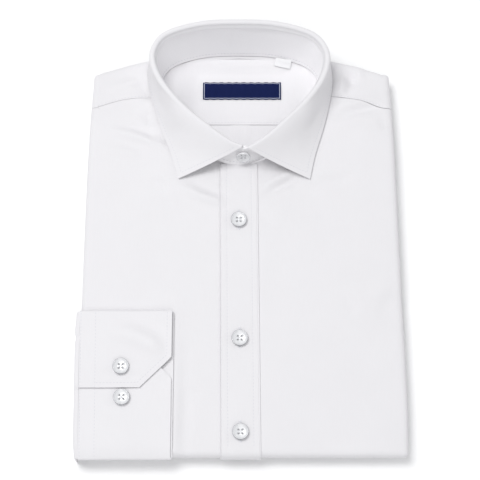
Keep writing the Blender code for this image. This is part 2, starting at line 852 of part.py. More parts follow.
def make_buttons():
    """Three on the placket, one on the stand and two on the cuff."""
    up = Vector((0.0, 0.0, 1.0))
    for n, y in enumerate(FRONT_BUTTONS_Y, 1):
        x = placket_x(y)
        z = front_height(x, y) + GAP + PLACKET_WALL
        button(f"front_button_{n}", Vector((x, y, z)), up, BUTTON_RADIUS)
    middle = stand_point(180.0, COLLAR_BUTTON_UP)
    slope = stand_point(180.0, 0.8) - stand_point(180.0, 0.1)
    facing = Vector((0.0, -slope.z, slope.y)).normalized()
    place = middle + facing * (FUSED / 2)
    button("collar_button", place, facing, COLLAR_BUTTON_RADIUS)
    lifts = (FUSED + 2 * CUFF_STEP, FUSED + CUFF_STEP)
    for n, ((x, y), lift) in enumerate(zip(CUFF_BUTTONS, lifts), 1):
        place = Vector((x, y, cuff_rest(x, y) + lift))
        button(f"cuff_button_{n}", place, up, BUTTON_RADIUS)


def main():
    for old in list(bpy.data.objects):
        bpy.data.objects.remove(old, do_unlink=True)
    bpy.context.scene.collection.children.link(SHIRT)
    bpy.context.scene.collection.children.link(CUTTERS)
    make_folded_layers()
    make_front("front_right", -1)
    make_front("front_left", 1)
    make_outer_yoke()
    make_inside()
    make_placket()
    make_collar_stand()
    make_collar_leaf()
    make_cuff()
    make_sleeve()
    make_buttons()
    patch("neck_label", LABEL_CENTRE, LABEL_SIZE, 0.0, LABEL_COLOUR, inside_height)
    patch("size_tab", TAB_CENTRE, TAB_SIZE, TAB_TURN, TAB_COLOUR, tab_height)


main()
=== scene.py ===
"""The looks of a folded dress shirt: fine cloth on the forms of its CAD model, and the studio.

Metres, in the CAD model's frame. The origin is on the floor under the middle of the placket.
"""

import math
from collections import namedtuple

import bmesh
import bpy
import numpy as np
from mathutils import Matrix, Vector


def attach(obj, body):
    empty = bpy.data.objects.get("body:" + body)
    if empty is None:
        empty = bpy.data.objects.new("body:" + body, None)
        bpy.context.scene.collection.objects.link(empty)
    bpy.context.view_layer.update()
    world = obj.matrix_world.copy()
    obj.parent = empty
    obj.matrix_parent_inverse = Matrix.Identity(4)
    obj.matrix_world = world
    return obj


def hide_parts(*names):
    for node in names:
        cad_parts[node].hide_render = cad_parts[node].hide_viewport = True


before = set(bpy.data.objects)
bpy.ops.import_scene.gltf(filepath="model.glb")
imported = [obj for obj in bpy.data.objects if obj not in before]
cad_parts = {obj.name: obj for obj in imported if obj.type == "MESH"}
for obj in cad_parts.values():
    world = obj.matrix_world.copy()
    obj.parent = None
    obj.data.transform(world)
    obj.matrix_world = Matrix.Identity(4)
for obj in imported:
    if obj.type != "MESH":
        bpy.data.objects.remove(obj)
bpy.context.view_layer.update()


def table(columns, *rows):
    """Rows of values whose columns have names."""
    row = namedtuple("row", columns)
    return tuple(row(*values) for values in rows)


# Walls, gaps and levels of the CAD model
CLOTH = 0.0012
FUSED = 0.0015
GAP = 0.0003
WELD = 0.00001
BOTTOM_Y = -0.1725
STACK = 0.0065
EDGE_ROUND = 0.0065
CROWN = 0.0016
CROWN_X = 0.1250
UNDERSIDE_INSET = 0.0050
FLOOR_IN_NECK = 0.0100
NECK_LOW = 0.0120

# Walls of the fine cloth, which is thinner than the solids
SHIRTING_WALL = 0.0008
COLLAR_WALL = 0.0012
CUFF_WALL = 0.0013
PLACKET_LIFT = 0.0013
RIM_ROUND = 0.0003
RIM_ANGLE = math.radians(55)

# How finely the cloth is divided: the usual cell, and the rows and columns of some pieces
CELL = 0.0018
FRONT_ROWS = 180
COLLAR_COLUMNS = 420
SHOULDER_ROWS = 20
YOKE_ROWS = 34
BACK_ROWS = 40
STAND_ROWS = 44
ROLL_ROWS = 13
LEAF_ROWS = 40
CUFF_COLUMNS = 48
LAYERS_ROWS = 121
LAYERS_COLUMNS = 81
LABEL_CELLS = (65, 21)
CORNER_STEPS = 13
PATH_STEP = 0.001

# How far the cloth and the placket turn round the body's edge, in degrees, and the powers of a sine
# and cosine that make the edge and the body's corners fuller than round
NOSE_TURNS = np.linspace(0, 165, 23)
PLACKET_TURNS = np.linspace(0, 142, 20)
EDGE_FULL = 0.74
CORNER_FULL = 0.50

# The folded body's edges and top by y, and its shoulder fold and front yoke seam by x
RIBS = table(
    "y left right height",
    (-0.1725, 0.1228, 0.1262, 0.0186),
    (-0.1300, 0.1228, 0.1268, 0.0202),
    (-0.0500, 0.1226, 0.1256, 0.0212),
    (0.0420, 0.1223, 0.1246, 0.0219),
    (0.0830, 0.1217, 0.1241, 0.0222),
    (0.1130, 0.1207, 0.1233, 0.0216),
    (0.1450, 0.1194, 0.1220, 0.0196),
)
SHOULDERS = table(
    "x fold_y seam_y",
    (0.0000, 0.1672, 0.1240),
    (0.0400, 0.1652, 0.1232),
    (0.0730, 0.1570, 0.1218),
    (0.0900, 0.1530, 0.1200),
    (0.1000, 0.1500, 0.1178),
    (0.1200, 0.1432, 0.1106),
)

# Where the cloth climbs or falls round the neck: by distance from the middle, or by y
YOKE_CLIMBS_X = (0.0550, 0.0730)
YOKE_FALLS_Y = (0.1250, 0.1470)
INSIDE_CLIMBS_X = (0.0320, 0.0570)
INSIDE_CLIMBS_Y = (0.0950, 0.1250)
INSIDE_BACK_Y = (0.1470, 0.1585)
INSIDE_DROPS_Y = (0.0300, 0.0750)
FOOT_FALLS_Y = (0.1200, 0.1640)
FOOT_LEVELS = (0.0198, 0.0130)
NECK_FLOOR_X = (0.0730, 0.0830)
NECK_FLOOR_Y = (0.0120, 0.0260)
INSIDE_WIDTH = 0.1320
PLEAT_HALF = 0.0085
PLEAT_RISE = 0.0004
INSIDE_SEAM = 0.0001
PLEAT_EDGE = 0.0016
YOKE_SEAM_Y = 0.1016
FOLD_LIMIT_Y = 0.1600
SHOULDER_START = 0.0705
NEAR_SIDE = 0.1165
STAND_BEHIND = np.linspace(0.0, 85.0, 40)

# The collar, half of it, by angle round the neck from the back
COLLAR_SKEW = 0.036
COLLAR_STRAIGHT_Y = 0.1400
RINGS = table(
    "angle foot_x foot_y foot_z crest_x crest_y crest_z",
    (0, 0.0000, 0.1632, 0.0130, 0.0000, 0.1738, 0.0500),
    (25, 0.0275, 0.1618, 0.0131, 0.0306, 0.1722, 0.0498),
    (50, 0.0505, 0.1545, 0.0142, 0.0579, 0.1640, 0.0490),
    (70, 0.0610, 0.1450, 0.0162, 0.0682, 0.1522, 0.0484),
    (90, 0.0638, 0.1340, 0.0182, 0.0696, 0.1384, 0.0478),
    (110, 0.0600, 0.1200, 0.0198, 0.0624, 0.1206, 0.0470),
    (130, 0.0500, 0.1015, 0.0208, 0.0460, 0.0999, 0.0460),
    (150, 0.0335, 0.0820, 0.0214, 0.0254, 0.0820, 0.0449),
    (166, 0.0165, 0.0695, 0.0217, 0.0112, 0.0717, 0.0440),
    (180, 0.0000, 0.0650, 0.0218, 0.0000, 0.0671, 0.0434),
)
LEAF_EDGE = table(
    "angle x y z",
    (0, 0.0000, 0.1800, 0.0135),
    (25, 0.0320, 0.1784, 0.0137),
    (50, 0.0600, 0.1680, 0.0165),
    (70, 0.0724, 0.1539, 0.0200),
    (90, 0.0748, 0.1382, 0.0212),
    (110, 0.0718, 0.1178, 0.0226),
    (130, 0.0656, 0.0943, 0.0231),
    (150, 0.0574, 0.0695, 0.0232),
    (174, 0.0522, 0.0487, 0.0230),
)
CREST_RADIUS = 0.0018
LEAF_END = 174
FRONT_NECK_END = 104
OVERLAP_ANGLE = 20
OVERLAP_STEP = 0.0021
OVERLAP_RISES = (134, 154)

# The fine collar: its roll and lap, how the leaf leaves the roll and ends, and the sewing. The pulls
# are shares of the leaf's fall or length that shape its curve from the roll to the edge
ROLL_AT_FRONT = 0.0011
ROLL_FLATTENS = (140, 172)
SEAM_AT_FRONT = 0.0012
SEAM_RISES = (158, 170)
SEAM_DROPS = (183, 186)
FINE_LAP = 0.0014
LEAF_LEAVES = 60.0
LEAVES_FROM = (98, 134)
HEADS_ASIDE = (130, 166)
LEAF_SAGS = 0.11
STEEP_PULL = (0.40, 0.10)
SLOPE_PULL = 0.33
EDGE_PULL = 0.38
STAND_LOWER = 0.0004
LEAF_CLOSES = (4.6, 1.6)
LEAF_CLOSES_FROM = (140, 174)
STAND_HANGS = 0.0052
STAND_HANGS_FROM = (168, 196)
STAND_INWARD = 0.7
LEAF_PROUD = (0.0016, 0.0005)
PROUD_FADES = (60, 130)
SEAM_BELOW_CREST = 0.0030
SEAM_GROOVE = 0.0002
SEAM_GROOVE_WIDTH = 0.0006
INSIDE_SEAM_END = 178.0
OUTSIDE_SEAM_START = 150.0
BAND_SEAM_UP = 0.0033
EDGE_SEAM_IN = 0.0037
LEAF_SEAM_START = 18.0
LEAF_SEAM_ROW = -8
LEAF_CLEAR = 0.0003
LEAF_SINKS = -0.0003
LEAF_RIM_ROWS = 10
LEAF_SMOOTH = 15

# Folds of the collar: an angle round the neck, a share of the way up or down, how far each
# leans, its width in degrees, its height as a share, and its depth
BAND_FOLDS = table(
    "angle up lean wide tall depth",
    (-41, 0.75, 4, 6.0, 0.22, 0.0006),
    (-24, 0.60, -5, 5.0, 0.30, 0.0003),
    (-6, 0.70, 0, 1.6, 0.45, -0.0003),
    (9, 0.85, 8, 8.0, 0.16, 0.0004),
    (24, 0.88, 6, 9.0, 0.14, 0.0006),
    (47, 0.55, -6, 5.0, 0.30, 0.0004),
    (66, 0.65, 3, 4.0, 0.30, -0.0003),
    (168, 0.45, 10, 3.0, 0.35, -0.0005),
    (174, 0.30, 14, 2.5, 0.30, 0.0004),
    (189, 0.40, -12, 3.0, 0.35, -0.0005),
)
LEAF_FOLDS = table(
    "angle up lean wide tall depth",
    (128, 0.62, -10, 9.0, 0.16, 0.0006),
    (104, 0.70, 6, 8.0, 0.18, -0.0003),
    (152, 0.40, 8, 9.0, 0.20, 0.0003),
    (-118, 0.60, 12, 9.0, 0.20, 0.0004),
    (-144, 0.66, 8, 8.0, 0.16, -0.0003),
    (-160, 0.45, -6, 7.0, 0.18, 0.0003),
    (-96, 0.45, 5, 9.0, 0.20, 0.0003),
    (40, 0.55, 4, 9.0, 0.20, 0.0004),
    (-18, 0.60, -5, 10.0, 0.20, 0.0003),
)

# The placket, the cuff and the buttons
PLACKET_WIDTH = 0.0300
FRONT_START = 0.0070
PLACKET_X_BOTTOM = 0.0005
PLACKET_X_TOP = -0.0013
PLACKET_LEANS_OVER = 0.24
FRONT_BUTTONS_Y = (0.0136, -0.0826, -0.1548)
BUTTON_RADIUS = 0.0063
COLLAR_BUTTON_RADIUS = 0.0057
COLLAR_BUTTON_UP = 0.60
COLLAR_BUTTON_SLOPE = (0.1, 0.8)
BUTTON_WALL = 0.0026
CUFF_UP = -0.0613
FLAP_END = -0.1216
FLAP_MITRE = (0.0240, 0.0235)
UNDER_END = -0.1020
UNDER_MITRE = (0.0120, 0.0120)
CUFF_STEP = FUSED + 0.0004
CUFF_ROUND_UP = 0.0020
CUFF_ROUND_DOWN = CUFF_STEP / 2
CUFF_BACK_SHOWS = 0.0014
CUFF_SEAMS = (0.0010, 0.0122)

# The fine cuff is narrower than its solid and droops at its lower end, and the sleeve's strip leans
FINE_CUFF_LEFT = (-0.1208, -0.1227)
FINE_CUFF_RIGHT = -0.0519
FINE_CUFF_DOWN = -0.1748
FINE_SLEEVE_OUT = (-0.1252, -0.1266)
FINE_BUTTON_SHIFT = 0.0011
CUFF_DROOP = 0.0024
CUFF_DROOPS_FROM = -0.1640
CUFF_SEAM_STOPS = 0.0010
FLAP_STEP_SOFT = 0.0015
SLEEVE_WALL = 0.0020
SLEEVE_UNDER = -0.1130
SLEEVE_PINCH = 0.0008
SLEEVE_TO_CUFF = 0.0001
SLEEVE_TUCK = 0.0009
SLEEVE_TUCK_Y = -0.0825
SLEEVE_TUCK_WIDTH = 0.0022
SLEEVE_PINCHED_ENDS = (0.0, 0.12)
SLEEVE_SEAM_IN = 0.0020
SLEEVE_LOW_END = -0.1660
SLEEVE_CURL = 0.0012
SLEEVE_BELOW_CUFF = 0.0003
CUFF_BUTTONS = ((-0.0912, -0.1056), (-0.0902, -0.1290))

# The neck label and the size tab
LABEL_SIZE = (0.0640, 0.0156)
LABEL_CENTRE = (0.0016, 0.1318)
LABEL_WALL = 0.0005
LABEL_PUCKER = 0.00022
LABEL_RIPPLES = (0.0061, 0.0023)
BORDER_IN = 0.0011
LABEL_THREAD = 0.00022
FINE_TAB_SIZE = (0.0135, 0.0070)
FINE_TAB_CENTRE = (0.0354, 0.1556)
TAB_TURN = -0.2
TAB_RISE = 0.0012

# The hidden layers: folds from the floor up, the slow waves along them as a length, a shift and a
# size, and the notch in the lowest folds for the sleeve
FOLDS = 6
FOLD_INSETS = (0.0036, 0.0031, 0.0026, 0.0034, 0.0028, 0.0037)
FOLD_GROOVE = 0.0016
FOLD_SWAY = 0.0005
FOLD_TURNS = (-60, -25, 10, 45, 70)
LAYERS_LIP = 0.0015
SWAYS = ((0.173, 1.0, 1.0), (0.061, 2.3, 0.6), (0.037, 4.1, 0.4))
LAYERS_BELOW = 0.001
NOTCH_Y = -0.0540
NOTCH_X = -0.1110
NOTCHED_FOLDS = 2

# How much of a crease shows by the share of its length, and the low swell beside it: how far off
# in widths of the crease, and how high as a share of its depth
CREASE_STARTS = (-0.15, 0.75)
CREASE_ENDS = (1.25, 0.90)
SWELL_BESIDE = 1.9
SWELL_SHARE = 0.45

# Soft troughs in the cloth on top, or ridges where the depth is below zero
CREASES = table(
    "start end bow width depth",
    ((-0.1090, 0.0930), (-0.0640, 0.0775), 0.0020, 0.0040, -0.0026),
    ((-0.1040, 0.0985), (-0.0660, 0.0850), 0.0020, 0.0050, 0.0010),
    ((-0.0897, 0.1367), (-0.0731, 0.1232), 0.0010, 0.0062, 0.0026),
    ((-0.0780, 0.1110), (-0.0715, 0.0980), 0.0010, 0.0056, 0.0026),
    ((-0.0520, 0.0450), (-0.0180, 0.0300), -0.0010, 0.0042, -0.0024),
    ((-0.1099, 0.1277), (-0.0856, 0.1349), 0.0010, 0.0040, -0.0015),
    ((-0.1122, 0.0763), (-0.0840, 0.0700), 0.0010, 0.0040, -0.0014),
    ((-0.0732, 0.0503), (-0.0600, 0.0430), 0.0005, 0.0035, 0.0012),
    ((0.0715, 0.1005), (0.1094, 0.1125), 0.0015, 0.0040, 0.0024),
    ((0.1132, 0.1054), (0.1169, 0.0947), 0.0005, 0.0035, 0.0012),
    ((0.0160, 0.0310), (0.0415, 0.0480), 0.0015, 0.0035, 0.0026),
    ((0.0200, 0.0400), (0.0400, 0.0530), 0.0010, 0.0050, -0.0010),
    ((0.0492, 0.0400), (0.0835, 0.0486), 0.0020, 0.0045, 0.0010),
    ((0.0126, 0.0220), (0.0230, 0.0110), 0.0005, 0.0040, 0.0007),
    ((0.0800, 0.1460), (0.0930, 0.1350), 0.0010, 0.0050, 0.0027),
    ((0.0885, 0.1470), (0.0825, 0.1270), -0.0010, 0.0035, -0.0017),
    ((0.1060, -0.0650), (0.1240, -0.0465), 0.0015, 0.0060, 0.0012),
    ((0.0734, -0.0474), (0.0885, -0.0595), 0.0010, 0.0055, 0.0007),
    ((-0.0414, -0.1304), (-0.0310, -0.1227), 0.0005, 0.0045, 0.0006),
    ((-0.1060, -0.0770), (-0.0640, -0.0900), 0.0030, 0.0070, -0.0034),
    ((-0.0495, -0.0600), (-0.0500, -0.1700), 0.0002, 0.0050, -0.0018),
    ((-0.0880, -0.1190), (-0.0790, -0.1130), 0.0005, 0.0035, 0.0008),
    ((-0.1190, -0.1430), (-0.0900, -0.1520), 0.0010, 0.0060, 0.0006),
)

# Slow waves in all of the cloth on top: how far apart along x and y, where they start, how high
WAVES = table(
    "x y start height",
    (0.210, 0.120, 0.4, 0.00030),
    (-0.094, 0.161, 2.1, 0.00024),
    (0.067, 0.083, 4.0, 0.00014),
    (0.049, -0.118, 5.2, 0.00010),
)

# Stitches and pressed lines, and how they press the cloth in. The seam rows are rows of a grid
YOKE_SEAM_ROW = 1.0
INSIDE_SEAM_ROW = 1.2
PLACKET_SEAMS = (-0.0095, 0.0100)
PLACKET_RIM = 0.0014
RIM_LINE_IN = 0.0006
RIM_LINE_WIDTH = 0.00034
RIM_LINES = (0.0010, 0.0004)
SEAM_PRESS = 0.00016
SEAM_PRESS_WIDTH = 0.0009
STITCH_PITCH = 0.0026
STITCH_LONG = 0.0019
STITCH_RADIUS = 0.00022
STITCH_SIDES = 6

# The studio: a pale sky, soft square lights with their place, size and power, and a camera that
# looks down at the shirt from its lower end, as in the photograph
SKY_COLOUR = (0.97, 0.98, 1.0, 1.0)
SKY_STRENGTH = 0.50
LIGHTS = (
    ("key", (-0.60, 0.36, 2.0), 1.0, 24.2),
    ("fill", (0.00, -1.30, 1.50), 1.2, 6.0),
    ("side_fill", (1.50, 0.20, 0.55), 0.8, 1.5),
)
FLOOR_SIZE = 16.0
CAMERA_TARGET = Vector((0.0, 0.0, 0.015))
CAMERA_ELEVATION = math.radians(70.0)
CAMERA_AWAY = 1.15
CAMERA_LENS = 109.5
SENSOR = 36.0

# Ways down and up the shirt, and up from the floor
TO_HEM = (0.0, -1.0, 0.0)
TO_NECK = (0.0, 1.0, 0.0)
UP = np.array((0.0, 0.0, 1.0))


def mix(a, b, t):
    """The value a share t of the way from a to b."""
    return a + (b - a) * t


def ramp(value, ends):
    """A soft step from 0 to 1 between two values."""
    t = np.clip((value - ends[0]) / (ends[1] - ends[0]), 0.0, 1.0)
    return t * t * (3.0 - 2.0 * t)


def bell(value):
    """A soft hump round zero, 1 high."""
    return np.exp(-(value**2))


def point(x, y, z):
    """Points from coordinates that are numbers or arrays."""
    return np.stack(np.broadcast_arrays(x, y, z), axis=-1).astype(float)


def unit(ways):
    """Ways made one long."""
    return ways / np.linalg.norm(ways, axis=-1, keepdims=True)


def spaced(start, end, step):
    """Values from start to end, about a step apart."""
    return np.linspace(start, end, max(2, round(abs(end - start) / step) + 1))


def shares(count):
    """Even shares from 0 to 1, as a column."""
    return np.linspace(0.0, 1.0, count)[:, None]


def curve(rows, column, place):
    """A column of a table at some places, on a smooth curve. The first column holds the places."""
    at = np.array([row[0] for row in rows], float)
    value = np.array([getattr(row, column) for row in rows], float)
    place = np.asarray(place, float)
    last = len(at) - 1
    k = np.searchsorted(at[1:-1], place)
    before = np.maximum(k - 1, 0)
    after = np.minimum(k + 2, last)
    span = at[k + 1] - at[k]
    slope_in = (value[k + 1] - value[before]) / (at[k + 1] - at[before]) * span
    slope_out = (value[after] - value[k]) / (at[after] - at[k]) * span
    t = (place - at[k]) / span
    return (
        value[k] * (2 * t**3 - 3 * t**2 + 1)
        + slope_in * (t**3 - 2 * t**2 + t)
        + value[k + 1] * (3 * t**2 - 2 * t**3)
        + slope_out * (t**3 - t**2)
    )


def mirrored(rows, sides, full_turn):
    """A half table with its first rows mirrored, and its last ones too for a full turn."""
    def flip(row, around):
        changes = {side: -getattr(row, side) for side in sides}
        return row._replace(angle=2 * around - row.angle, **changes)

    before = [flip(row, 0) for row in reversed(rows[1:])]
    after = [flip(row, 180) for row in reversed(rows[:-1])] if full_turn else []
    return (*before, *rows, *after)


RING_ALL_ROUND = mirrored(RINGS, ("foot_x", "crest_x"), True)
LEAF_ALL_ROUND = mirrored(LEAF_EDGE, ("x",), False)


def collar_middle(y):
    """The collar's middle line, which leans to the viewer's right toward its points."""
    return COLLAR_SKEW * (COLLAR_STRAIGHT_Y - y)


def ring_line(name, angle):
    """A line round the neck from its three columns of the ring table."""
    a = (np.asarray(angle, float) + 180.0) % 360.0 - 180.0
    x, y, z = (curve(RING_ALL_ROUND, f"{name}_{axis}", a) for axis in "xyz")
    return point(collar_middle(y) + x, y, z)


def foot(angle):
    """The lower edge of the stand, on its middle surface."""
    return ring_line("foot", angle)


def crest(angle):
    """The middle of the roll at the top of the collar."""
    return ring_line("crest", angle)


def outward(line, angle):
    """The level direction away from the neck, square to a line round it."""
    ahead = line(angle + 2.0) - line(angle - 2.0)
    return unit(point(-ahead[..., 1], ahead[..., 0], 0.0))


def leaf_edge(angle):
    """The free edge of the collar leaf."""
    x, y, z = (curve(LEAF_ALL_ROUND, n, angle) for n in "xyz")
    return point(collar_middle(y) + x, y, z)


def half_width(y, side):
    """The folded body's edge, as a distance from the middle. side is -1 or 1."""
    return curve(RIBS, "left" if side < 0 else "right", y)


def fold_y(x):
    """Where the shoulder fold lies, by x."""
    return curve(SHOULDERS, "fold_y", np.abs(x))


def seam_y(x):
    """Where the front yoke seam lies, by x."""
    return curve(SHOULDERS, "seam_y", np.abs(x))


def plain_height(x, y):
    """The top of the fronts without creases: a low crown that thins to the folds."""
    across = np.minimum(np.abs(x) / CROWN_X, 1.0)
    return curve(RIBS, "height", np.minimum(y, RIBS[-1].y)) - CROWN * across**2


def crease_depth(crease, x, y):
    """How far one crease lowers the cloth: deepest near its end, and fading out at both."""
    start = np.array(crease.start)
    way = np.array(crease.end) - start
    length = np.linalg.norm(way)
    way = way / length
    along = ((x - start[0]) * way[0] + (y - start[1]) * way[1]) / length
    off = -(x - start[0]) * way[1] + (y - start[1]) * way[0]
    off = off - crease.bow * (1.0 - (2.0 * along - 1.0) ** 2)
    fade = ramp(along, CREASE_STARTS) * ramp(along, CREASE_ENDS)
    swell = bell((off - SWELL_BESIDE * crease.width) / crease.width)
    return crease.depth * fade * (bell(off / crease.width) - SWELL_SHARE * swell)


def relief(x, y):
    """The creases and slow waves of the cloth on top, as a height."""
    height = 0.0
    for wave in WAVES:
        height = height + wave.height * np.sin(2 * np.pi * (x / wave.x + y / wave.y) + wave.start)
    for crease in CREASES:
        height = height - crease_depth(crease, x, y)
    return height


def front_height(x, y):
    """The top of the fronts with their creases."""
    return plain_height(x, y) + relief(x, y)


def shoulder_height(x, y):
    """The top of the outer yoke, which falls to the back of the neck."""
    top = front_height(x, y)
    at_back = mix(NECK_LOW, top, ramp(np.abs(x), YOKE_CLIMBS_X))
    return mix(top, at_back, ramp(y, YOKE_FALLS_Y))


def inside_height(x, y):
    """The inner yoke and the back as they lie in the neck: low, and up to the stand at the sides."""
    at_side = ramp(np.abs(x), INSIDE_CLIMBS_X) * ramp(y, INSIDE_CLIMBS_Y)
    at_back = ramp(y, INSIDE_BACK_Y)
    foot_z = mix(*FOOT_LEVELS, ramp(y, FOOT_FALLS_Y))
    under_front = plain_height(x, y) - CLOTH - 2 * GAP
    low = mix(FLOOR_IN_NECK, foot_z - 2 * GAP, np.maximum(at_side, at_back))
    return mix(under_front, low, ramp(y, INSIDE_DROPS_Y))


# A grid of places, and the same places on the flat cloth
Sheet = namedtuple("Sheet", "points flat")


def level_sheet(x, y, z):
    """A sheet that lies nearly flat, so that x and y are its places on the flat cloth too."""
    return Sheet(point(x, y, z), point(x, y, 0.0)[..., :2])


def arc_lengths(points, axis):
    """The distance along the lines of a grid, from their start."""
    steps = np.linalg.norm(np.diff(points, axis=axis), axis=-1)
    start = np.zeros_like(np.take(steps, [0], axis=axis))
    return np.concatenate((start, np.cumsum(steps, axis=axis)), axis=axis)


def unrolled(points, u_axis=1):
    """A sheet whose flat places are the distances along its middle row and each column."""
    other = 1 - u_axis
    middle = points.shape[other] // 2
    u = np.take(arc_lengths(points, u_axis), [middle], axis=other)
    v = arc_lengths(points, other)
    u, v = np.broadcast_arrays(u, v)
    return Sheet(points, np.stack((u, v), axis=-1))


def fuller(value, power):
    """A sine or cosine raised to a power, with its sign kept."""
    return np.sign(value) * np.abs(value) ** power


def over_edge(points, ways, turns=NOSE_TURNS, inward=0.0):
    """A sheet round a folded edge: from each station outward, down and back under."""
    turn = np.radians(np.asarray(turns, float))[None, :]
    top = points[:, 2, None] - inward
    bottom = STACK + GAP + inward
    middle = (top + bottom) / 2.0
    half = (top - bottom) / 2.0
    out = (EDGE_ROUND - inward) * fuller(np.sin(turn), EDGE_FULL) + 0.0 * top
    grid = points[:, None, :] + ways[:, None, :] * out[..., None]
    grid[..., 2] = middle + half * fuller(np.cos(turn), EDGE_FULL)
    length = arc_lengths(grid, 1)
    flat = points[:, None, :2] + ways[:, None, :2] * length[..., None]
    return Sheet(grid, flat)


def turned_ways(start, end, count):
    """Level ways that turn from one to another, square to it, and reach further between them."""
    turn = np.linspace(0.0, np.pi / 2, count)[:, None]
    first = np.array(start) * fuller(np.cos(turn), CORNER_FULL)
    return first + np.array(end) * fuller(np.sin(turn), CORNER_FULL)


def grid_mesh(name, sheets):
    """One mesh from sheets that share their edges, with its faces up and its flat places as UVs."""
    points = []
    flats = []
    faces = []
    start = 0
    for sheet in sheets:
        rows, columns = sheet.points.shape[:2]
        index = start + np.arange(rows * columns).reshape(rows, columns)
        quads = (index[:-1, :-1], index[:-1, 1:], index[1:, 1:], index[1:, :-1])
        faces += np.stack(quads, axis=-1).reshape(-1, 4).tolist()
        points.append(sheet.points.reshape(-1, 3))
        flats.append(sheet.flat.reshape(-1, 2))
        start += rows * columns
    data = bpy.data.meshes.new(name)
    data.from_pydata(np.concatenate(points).tolist(), [], faces)
    corners = np.empty(len(data.loops), np.int32)
    data.loops.foreach_get("vertex_index", corners)
    layer = data.uv_layers.new(name="cloth")
    layer.data.foreach_set("uv", np.concatenate(flats)[corners].astype(np.float32).ravel())
    mesh = bmesh.new()
    mesh.from_mesh(data)
    bmesh.ops.remove_doubles(mesh, verts=mesh.verts, dist=WELD)
    bmesh.ops.dissolve_degenerate(mesh, edges=mesh.edges, dist=WELD)
    bmesh.ops.recalc_face_normals(mesh, faces=mesh.faces)
    facing = sum(face.normal.z * face.calc_area() for face in mesh.faces)
    if facing < 0.0:
        bmesh.ops.reverse_faces(mesh, faces=mesh.faces)
    kept(mesh, data).shade_smooth()
    return data


def closed(data, sides):
    """A mesh with its holes of up to so many sides filled. 0 stands for any number."""
    mesh = bmesh.new()
    mesh.from_mesh(data)
    bmesh.ops.holes_fill(mesh, edges=mesh.edges, sides=sides)
    bmesh.ops.recalc_face_normals(mesh, faces=mesh.faces)
    return kept(mesh, data)


def kept(mesh, data):
    """A mesh's data with the edits written back to it."""
    mesh.to_mesh(data)
    mesh.free()
    return data


def add_object(name, data):
    """A new object in the scene."""
    made = bpy.data.objects.new(name, data)
    bpy.context.scene.collection.objects.link(made)
    return made


def add_piece(name, data, material, replaced=()):
    """Link a piece to the scene, give it its material, and make it stand for CAD nodes."""
    made = add_object(name, data)
    data.materials.append(material)
    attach(made, "root")
    if replaced:
        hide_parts(*replaced)
    return made


def thicken(made, wall, offset):
    """Give a sheet its wall with rounded rims. An offset of -1 keeps the sheet as the outer face."""
    solid = made.modifiers.new("wall", "SOLIDIFY")
    solid.thickness = wall
    solid.offset = offset
    rims = made.modifiers.new("rims", "BEVEL")
    rims.width = RIM_ROUND
    rims.segments = 2
    rims.limit_method = "ANGLE"
    rims.angle_limit = RIM_ANGLE
    rims.harden_normals = True


def add_cloth(node, sheets, material, wall, offset=-1.0):
    """A CAD node's cloth: its sheets with a wall, as one piece that stands for the node."""
    made = add_piece(f"{node}_cloth", grid_mesh(node, sheets), material, (node,))
    thicken(made, wall, offset)
    return made


def normals_of(points):
    """The directions square to a grid of places."""
    down = np.gradient(points, axis=0)
    across = np.gradient(points, axis=1)
    normal = np.cross(across, down)
    return normal / np.maximum(np.linalg.norm(normal, axis=-1, keepdims=True), 1e-12)


def sampled(grid, row, column):
    """Values of a grid at places between its rows and columns."""
    r = np.clip(row, 0, grid.shape[0] - 1.001)
    c = np.clip(column, 0, grid.shape[1] - 1.001)
    r0 = r.astype(int)
    c0 = c.astype(int)
    dr = (r - r0)[..., None]
    dc = (c - c0)[..., None]
    upper = mix(grid[r0, c0], grid[r0, c0 + 1], dc)
    lower = mix(grid[r0 + 1, c0], grid[r0 + 1, c0 + 1], dc)
    return mix(upper, lower, dr)


# A line of sewing: its places and the directions out of the cloth
Line = namedtuple("Line", "points normals")


def line_on(points, row, column, lift=0.0, up=UP):
    """A line of sewing on a grid, lifted off it toward one side."""
    row, column = np.broadcast_arrays(np.asarray(row, float), np.asarray(column, float))
    normal = sampled(normals_of(points), row, column)
    sign = np.sign(np.sum(normal * np.array(up), axis=-1, keepdims=True))
    normal = normal * sign
    return Line(sampled(points, row, column) + normal * lift, normal)


def stitch_shape():
    """One stitch of unit length along x: a short thread whose ends dive into the cloth."""
    rings = []
    for share in (-1.0, -0.7, 0.0, 0.7, 1.0):
        size = STITCH_RADIUS * math.sqrt(1.0 - 0.8 * share**2)
        dip = -1.6 * STITCH_RADIUS * share**4
        ring = []
        for k in range(STITCH_SIDES):
            turn = math.tau * k / STITCH_SIDES
            ring.append((share / 2, size * math.cos(turn), dip + size * math.sin(turn)))
        rings.append(ring)
    return np.array(rings)


# Short threads: their middles, their directions, the ways out of the cloth, and their lengths
Threads = namedtuple("Threads", "places along up length")


def joined(runs):
    """Many runs of threads as one."""
    return Threads(*(np.concatenate(values) for values in zip(*runs)))


def sewn(line):
    """The stitches on a line of sewing."""
    length = arc_lengths(line.points[None], 1)[0]
    count = max(1, int(length[-1] / STITCH_PITCH))
    centres = (np.arange(count) + 0.5) * length[-1] / count

    def at(values, where):
        return np.stack([np.interp(where, length, values[:, n]) for n in range(3)], -1)

    reach = STITCH_LONG / 3
    along = at(line.points, np.minimum(centres + reach, length[-1]))
    along = along - at(line.points, np.maximum(centres - reach, 0.0))
    return Threads(
        at(line.points, centres), along, at(line.normals, centres), np.full(count, STITCH_LONG)
    )


